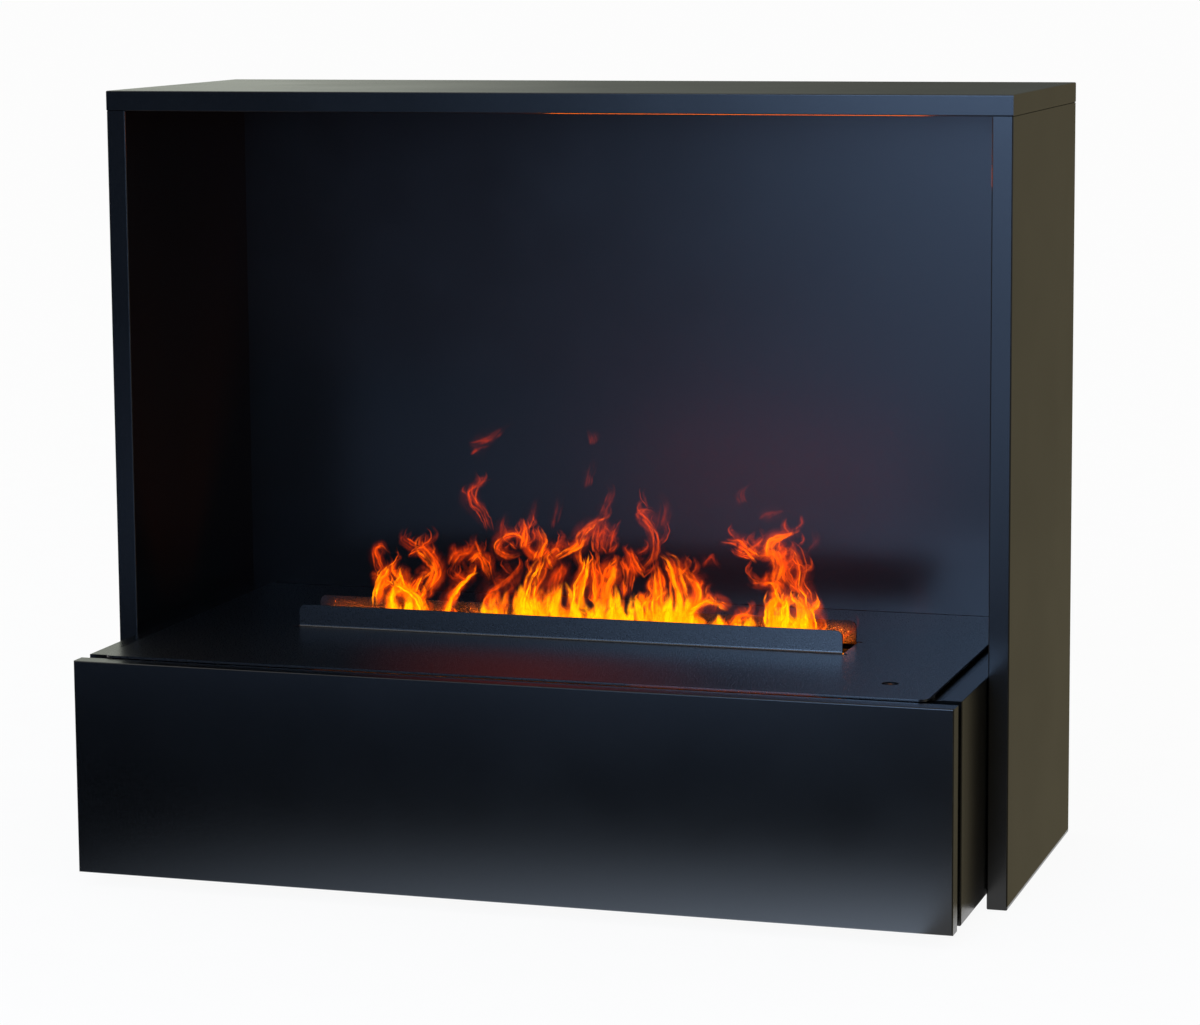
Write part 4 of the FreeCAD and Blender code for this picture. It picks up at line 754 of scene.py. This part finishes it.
def paint_nodes():
    """Give every node the finish of its material slot."""
    finishes = {
        "satin_black_board": satin_black_laminate(),
        "bare_wood": beech(),
        "black_steel": black_powder_coat(),
        "zinc_steel": zinc_plated_steel(),
        "black_plastic": moulded_plastic("moulded_black_abs", "#101112", "#1d1e20", 1.2, 0.48),
        "button_plastic": button_with_painted_glow(),
        "natural_plastic": moulded_plastic("natural_polyethylene", "#d3d6d2", "#eceee9", 3.0, 0.45, 0.3),
        "aluminium": drawn_metal("extruded_aluminium", "#b4b8bc", "#d3d6d8", (0.04, 1.0, 1.0), 0.34),
        "ceramic_disc": drawn_metal("plated_ceramic", "#b9b4a6", "#d8d3c5", (1.0, 1.0, 1.0), 0.30),
        "brass": drawn_metal("turned_brass", "#b08a3e", "#d0aa5c", (1.0, 1.0, 0.2), 0.28),
        "light_chip": lit_plastic("silicone_light_dome", "#ffb43c", "#ffdf9a", 1.5, 1.6),
        "amber_plastic": lit_plastic("frosted_amber_acrylic", "#d95a08", "#ff8f1e", 9.0, 0.9),
        "black_rubber": moulded_plastic("black_rubber", "#0f1011", "#1b1c1d", 1.0, 0.72),
        "clear_hose": silicone_hose(),
        "circuit_board": solder_mask(),
    }
    for part in frame["record"]["subparts"]:
        node = frame["nodes"][part["node"]]
        node.data.materials.clear()
        node.data.materials.append(finishes[part["material_slot"]])
    return finishes


# Studio

def seen_rays(tree):
    """1 for the rays that the background is shown to, 0 for those that light the object."""
    path = add(tree, "ShaderNodeLightPath")
    either = add(tree, "ShaderNodeMath", {"operation": "MAXIMUM"}, {
        0: path.outputs["Is Camera Ray"], 1: path.outputs["Is Glossy Ray"]})
    shown = add(tree, "ShaderNodeMath", {"operation": "MAXIMUM"}, {
        0: either.outputs[0], 1: path.outputs["Is Transmission Ray"]})
    return shown.outputs[0]


def white_world():
    """White surroundings, shown at full strength but dimmer as a light."""
    world = bpy.data.worlds.new("studio")
    bpy.context.scene.world = world
    world.use_nodes = True
    tree = world.node_tree
    tree.nodes.clear()
    back = add(tree, "ShaderNodeBackground", inputs={
        "Color": colour("#ffffff"), "Strength": between(tree, seen_rays(tree), 0.55, 1.0)})
    add(tree, "ShaderNodeOutputWorld", inputs={"Surface": back.outputs[0]})


def stage_plane(name, corners, material):
    """A flat four-cornered piece of the studio, which is no part of the object."""
    mesh = bpy.data.meshes.new(name)
    mesh.from_pydata(corners, [], [(0, 1, 2, 3)])
    mesh.materials.append(material)
    plane = bpy.data.objects.new(name, mesh)
    bpy.context.scene.collection.objects.link(plane)
    return plane


def white_floor():
    """Pale floor that melts into the white background and keeps a soft trace of the object's shadow."""
    material, tree, place = start_material("white_studio_floor")
    tint = tinted(tree, noise(tree, place, 60), (0.3, "#f0f0f0"), (0.7, "#f6f6f6"))
    matt = add(tree, "ShaderNodeBsdfDiffuse", inputs={"Color": tint})
    white = add(tree, "ShaderNodeEmission", inputs={"Color": colour("#ffffff"), "Strength": 1.03})
    mixed = add(tree, "ShaderNodeMixShader", inputs={
        0: product(tree, seen_rays(tree), 0.9), 1: matt.outputs[0], 2: white.outputs[0]})
    end_material(tree, mixed)
    reach = 60.0
    stage_plane("floor", [
        (-reach, -reach, 0), (reach, -reach, 0), (reach, reach, 0), (-reach, reach, 0)], material)


def soft_lamp(name, place, aim, size, power, code, mirrored=True, beam=180):
    """Rectangular soft lamp that shines from its place towards its aim, in a beam of so many degrees.
    Gloss shows it only where it is mirrored."""
    data = bpy.data.lights.new(name, "AREA")
    data.shape = "RECTANGLE"
    data.size, data.size_y = size
    data.energy = power
    data.color = colour(code)[:3]
    data.spread = math.radians(beam)
    lamp = bpy.data.objects.new(name, data)
    lamp.location = place
    lamp.rotation_euler = (Vector(aim) - Vector(place)).to_track_quat("-Z", "Y").to_euler()
    lamp.visible_camera = False
    lamp.visible_glossy = mirrored
    bpy.context.scene.collection.objects.link(lamp)


def only_in_gloss(card):
    """Hide a card from all but the gloss of what stands near it."""
    card.visible_camera = False
    card.visible_diffuse = False
    card.visible_transmission = False
    card.visible_shadow = False


def reflection_card(name, corners, code, across, along=None):
    """Card that only the satin boards' reflections see. Its light runs between two strengths across X, given
    as start, end, first and last strength, and fades along Y where a second run is given."""
    material, tree, place = start_material(name + "_light")
    axes = add(tree, "ShaderNodeSeparateXYZ", inputs={0: place})
    strength = changed(tree, axes.outputs["X"], *across)
    if along:
        start, end, least = along
        strength = product(tree, strength, changed(tree, axes.outputs["Y"], start, end, 1.0, least))
    light = add(tree, "ShaderNodeEmission", inputs={"Color": colour(code), "Strength": strength})
    end_material(tree, light)
    material.cycles.emission_sampling = "NONE"
    only_in_gloss(stage_plane(name, corners, material))


def even(strength):
    """The run of a card that is equally strong all over."""
    return 0.0, 1.0, strength, strength


def wall(name, left, right, depth, code, across):
    """Upright card across the studio."""
    height = 4.0
    corners = [(left, depth, 0), (right, depth, 0), (right, depth, height), (left, depth, height)]
    reflection_card(name, corners, code, across)


def ground(name, left, right, near, far, code, across, along=None):
    """Card that lies just over the floor."""
    low = 3 * millimetre
    corners = [(left, far, low), (right, far, low), (right, near, low), (left, near, low)]
    reflection_card(name, corners, code, across, along)


def reflection_cards():
    """What the satin boards mirror: bluish light in front, a warm side and a pale room behind."""
    front, rear, side = -3.5, 2.0, 5.0
    cabinet_right, cabinet_front = cad_box[1][0], cad_box[0][1]
    bright_end, near_end, dim_side = 0.3, 0.36, 0.0
    near, middle, rear_middle = -1.3, -1.9, -0.6
    sky, warm, pale = "#aacaff", "#fff0c4", "#f9fff0"
    front_fade = (cabinet_front, cabinet_front - 0.30, 0.01)
    near_fade = (near - 0.3, near, 0.02)
    wall("front_flag", -side, bright_end, front, sky, (-1.15, -0.25, 0.08, 2.5))
    wall("front_dark_flag", bright_end, side, front, "#ffffff", even(0.03))
    ground("near_floor_flag", -side, near_end, cabinet_front, near, "#c8d8ee", (-0.45, 0.40, 0.2, 5.0),
           front_fade)
    ground("middle_floor_flag", -side, dim_side, near, middle, sky, (-1.4, 0.06, 0.3, 4.0), near_fade)
    ground("far_floor_flag", -side, dim_side, middle, front, sky, (-1.1, 0.06, 0.24, 1.85))
    ground("right_floor_flag", dim_side, cabinet_right, near, front, sky, even(0.5), near_fade)
    ground("side_flag", cabinet_right, side, rear, front, warm, even(0.21))
    wall("rear_left_card", -side, rear_middle, rear, pale, (-1.14, rear_middle, 0.70, 0.23))
    wall("rear_card", rear_middle, cabinet_right, rear, pale, (rear_middle, -0.15, 0.23, 0.14))
    wall("rear_side_card", cabinet_right, side, rear, warm, even(0.20))


def fire_mirror_card():
    """Soft red glow over the slot, seen only by the gloss of the plate in front of it. It hides nothing."""
    middle = Vector((slot_x - 40 * millimetre, slot_y, plate_top + 50 * millimetre))
    half_width, half_height = 190 * millimetre, 45 * millimetre
    brightness = 0.23
    material, tree, place = start_material("fire_mirror_light")
    spread = add(tree, "ShaderNodeMapping", {"vector_type": "TEXTURE"}, {
        "Vector": place, "Location": middle, "Scale": (half_width, 1.0, half_height)})
    soft = add(tree, "ShaderNodeTexGradient", {"gradient_type": "SPHERICAL"}, {"Vector": spread.outputs[0]})
    behind = add(tree, "ShaderNodeNewGeometry").outputs["Backfacing"]
    strength = product(tree, between(tree, behind, brightness, 0.0), soft.outputs["Fac"])
    light = add(tree, "ShaderNodeEmission", inputs={"Color": colour("#ff4a20"), "Strength": strength})
    clear = add(tree, "ShaderNodeBsdfTransparent")
    both = add(tree, "ShaderNodeAddShader", inputs={0: light.outputs[0], 1: clear.outputs[0]})
    end_material(tree, both)
    material.cycles.emission_sampling = "NONE"
    left, right = middle.x - half_width, middle.x + half_width
    foot, top = middle.z - half_height, middle.z + half_height
    card = stage_plane("fire_mirror_card", [
        (left, slot_y, foot), (right, slot_y, foot), (right, slot_y, top), (left, slot_y, top)], material)
    only_in_gloss(card)


def fire_lamps():
    """Light that the fire throws on the metal and boards around it. The narrow lamps stand for fire mirrored
    in bent metal and rounded edges, which is too fine to show by itself."""
    soft_lamp("ember", (slot_x, slot_y, fire_base), (slot_x, slot_y, lintel.z), (0.46, 0.02), 4.5,
              "#ff7a1e", mirrored=False)
    flap_lamp_y = slot_y - 18 * millimetre
    flap_middle = plate_top + 6 * millimetre
    narrow = 24
    for name, middle, length, power in (
            ("flap_glow", slot_x, 0.484, 2.6),
            ("flap_end_glow", slot_x + 0.207, 0.09, 0.75)):
        soft_lamp(name, (middle, flap_lamp_y, flap_middle), (middle, slot_y, flap_middle), (length, 0.012),
                  power, "#ff6a14", mirrored=False, beam=narrow)
    gap_x = 0.19
    in_gap = (gap_x, fascia.y + 0.5 * millimetre, plate_top - 3.5 * millimetre)
    plate_edge = (gap_x, fascia.y + 3.5 * millimetre, plate_top - 0.5 * millimetre)
    soft_lamp("gap_glow", in_gap, plate_edge, (0.16, 0.001), 0.11, "#ff5a0e", mirrored=False)
    lintel_x = 0.155
    below_lintel = (lintel_x, lintel.y + 12 * millimetre, lintel.z - 60 * millimetre)
    soft_lamp("lintel_glow", below_lintel, (lintel_x, lintel.y, lintel.z), (0.34, 0.03), 1.5, "#ff6604")
    mist_x = 0.12
    over_fire = (mist_x, back_face - 123 * millimetre, plate_top + 117 * millimetre)
    on_back = (mist_x, back_face, plate_top + 127 * millimetre)
    soft_lamp("mist_glow", over_fire, on_back, (0.26, 0.10), 1.7, "#ff2a14", mirrored=False)


def studio():
    """Plain white studio with a soft window in front, the fire's light and what the boards mirror."""
    white_world()
    white_floor()
    window_x, window_y, window_z = -0.15, -3.3, 1.625
    soft_lamp("window", (window_x, window_y, window_z), (window_x, 0.0, window_z), (0.9, 1.75), 46.0,
              "#a4ccff")
    fire_lamps()
    fire_mirror_card()
    reflection_cards()


def photo_camera():
    """Camera that sees the cabinet from the photograph's place, to the right and a little above."""
    place = (0.9904, -3.0765, 0.8106)
    yaw, pitch, roll = 0.30409, 0.13501, -0.00733
    forward = Vector((-math.sin(yaw) * math.cos(pitch), math.cos(yaw) * math.cos(pitch), -math.sin(pitch)))
    level = Vector((math.cos(yaw), math.sin(yaw), 0.0))
    upward = level.cross(forward)
    right = math.cos(roll) * level + math.sin(roll) * upward
    up = math.cos(roll) * upward - math.sin(roll) * level
    data = bpy.data.cameras.new("photo_camera")
    data.sensor_width = 36.0
    data.lens = 109.77
    data.shift_y = -0.0521
    data.clip_end = 100.0
    camera = bpy.data.objects.new("photo_camera", data)
    turn = Matrix((right, up, -forward)).transposed().to_4x4()
    camera.matrix_world = Matrix.Translation(place) @ turn
    bpy.context.scene.collection.objects.link(camera)
    bpy.context.scene.camera = camera


finishes = paint_nodes()
build_screws(finishes["zinc_steel"])
build_fire()
studio()
photo_camera()
bpy.context.scene.view_settings.view_transform = "Standard"
bpy.context.scene.cycles.transparent_max_bounces = 64
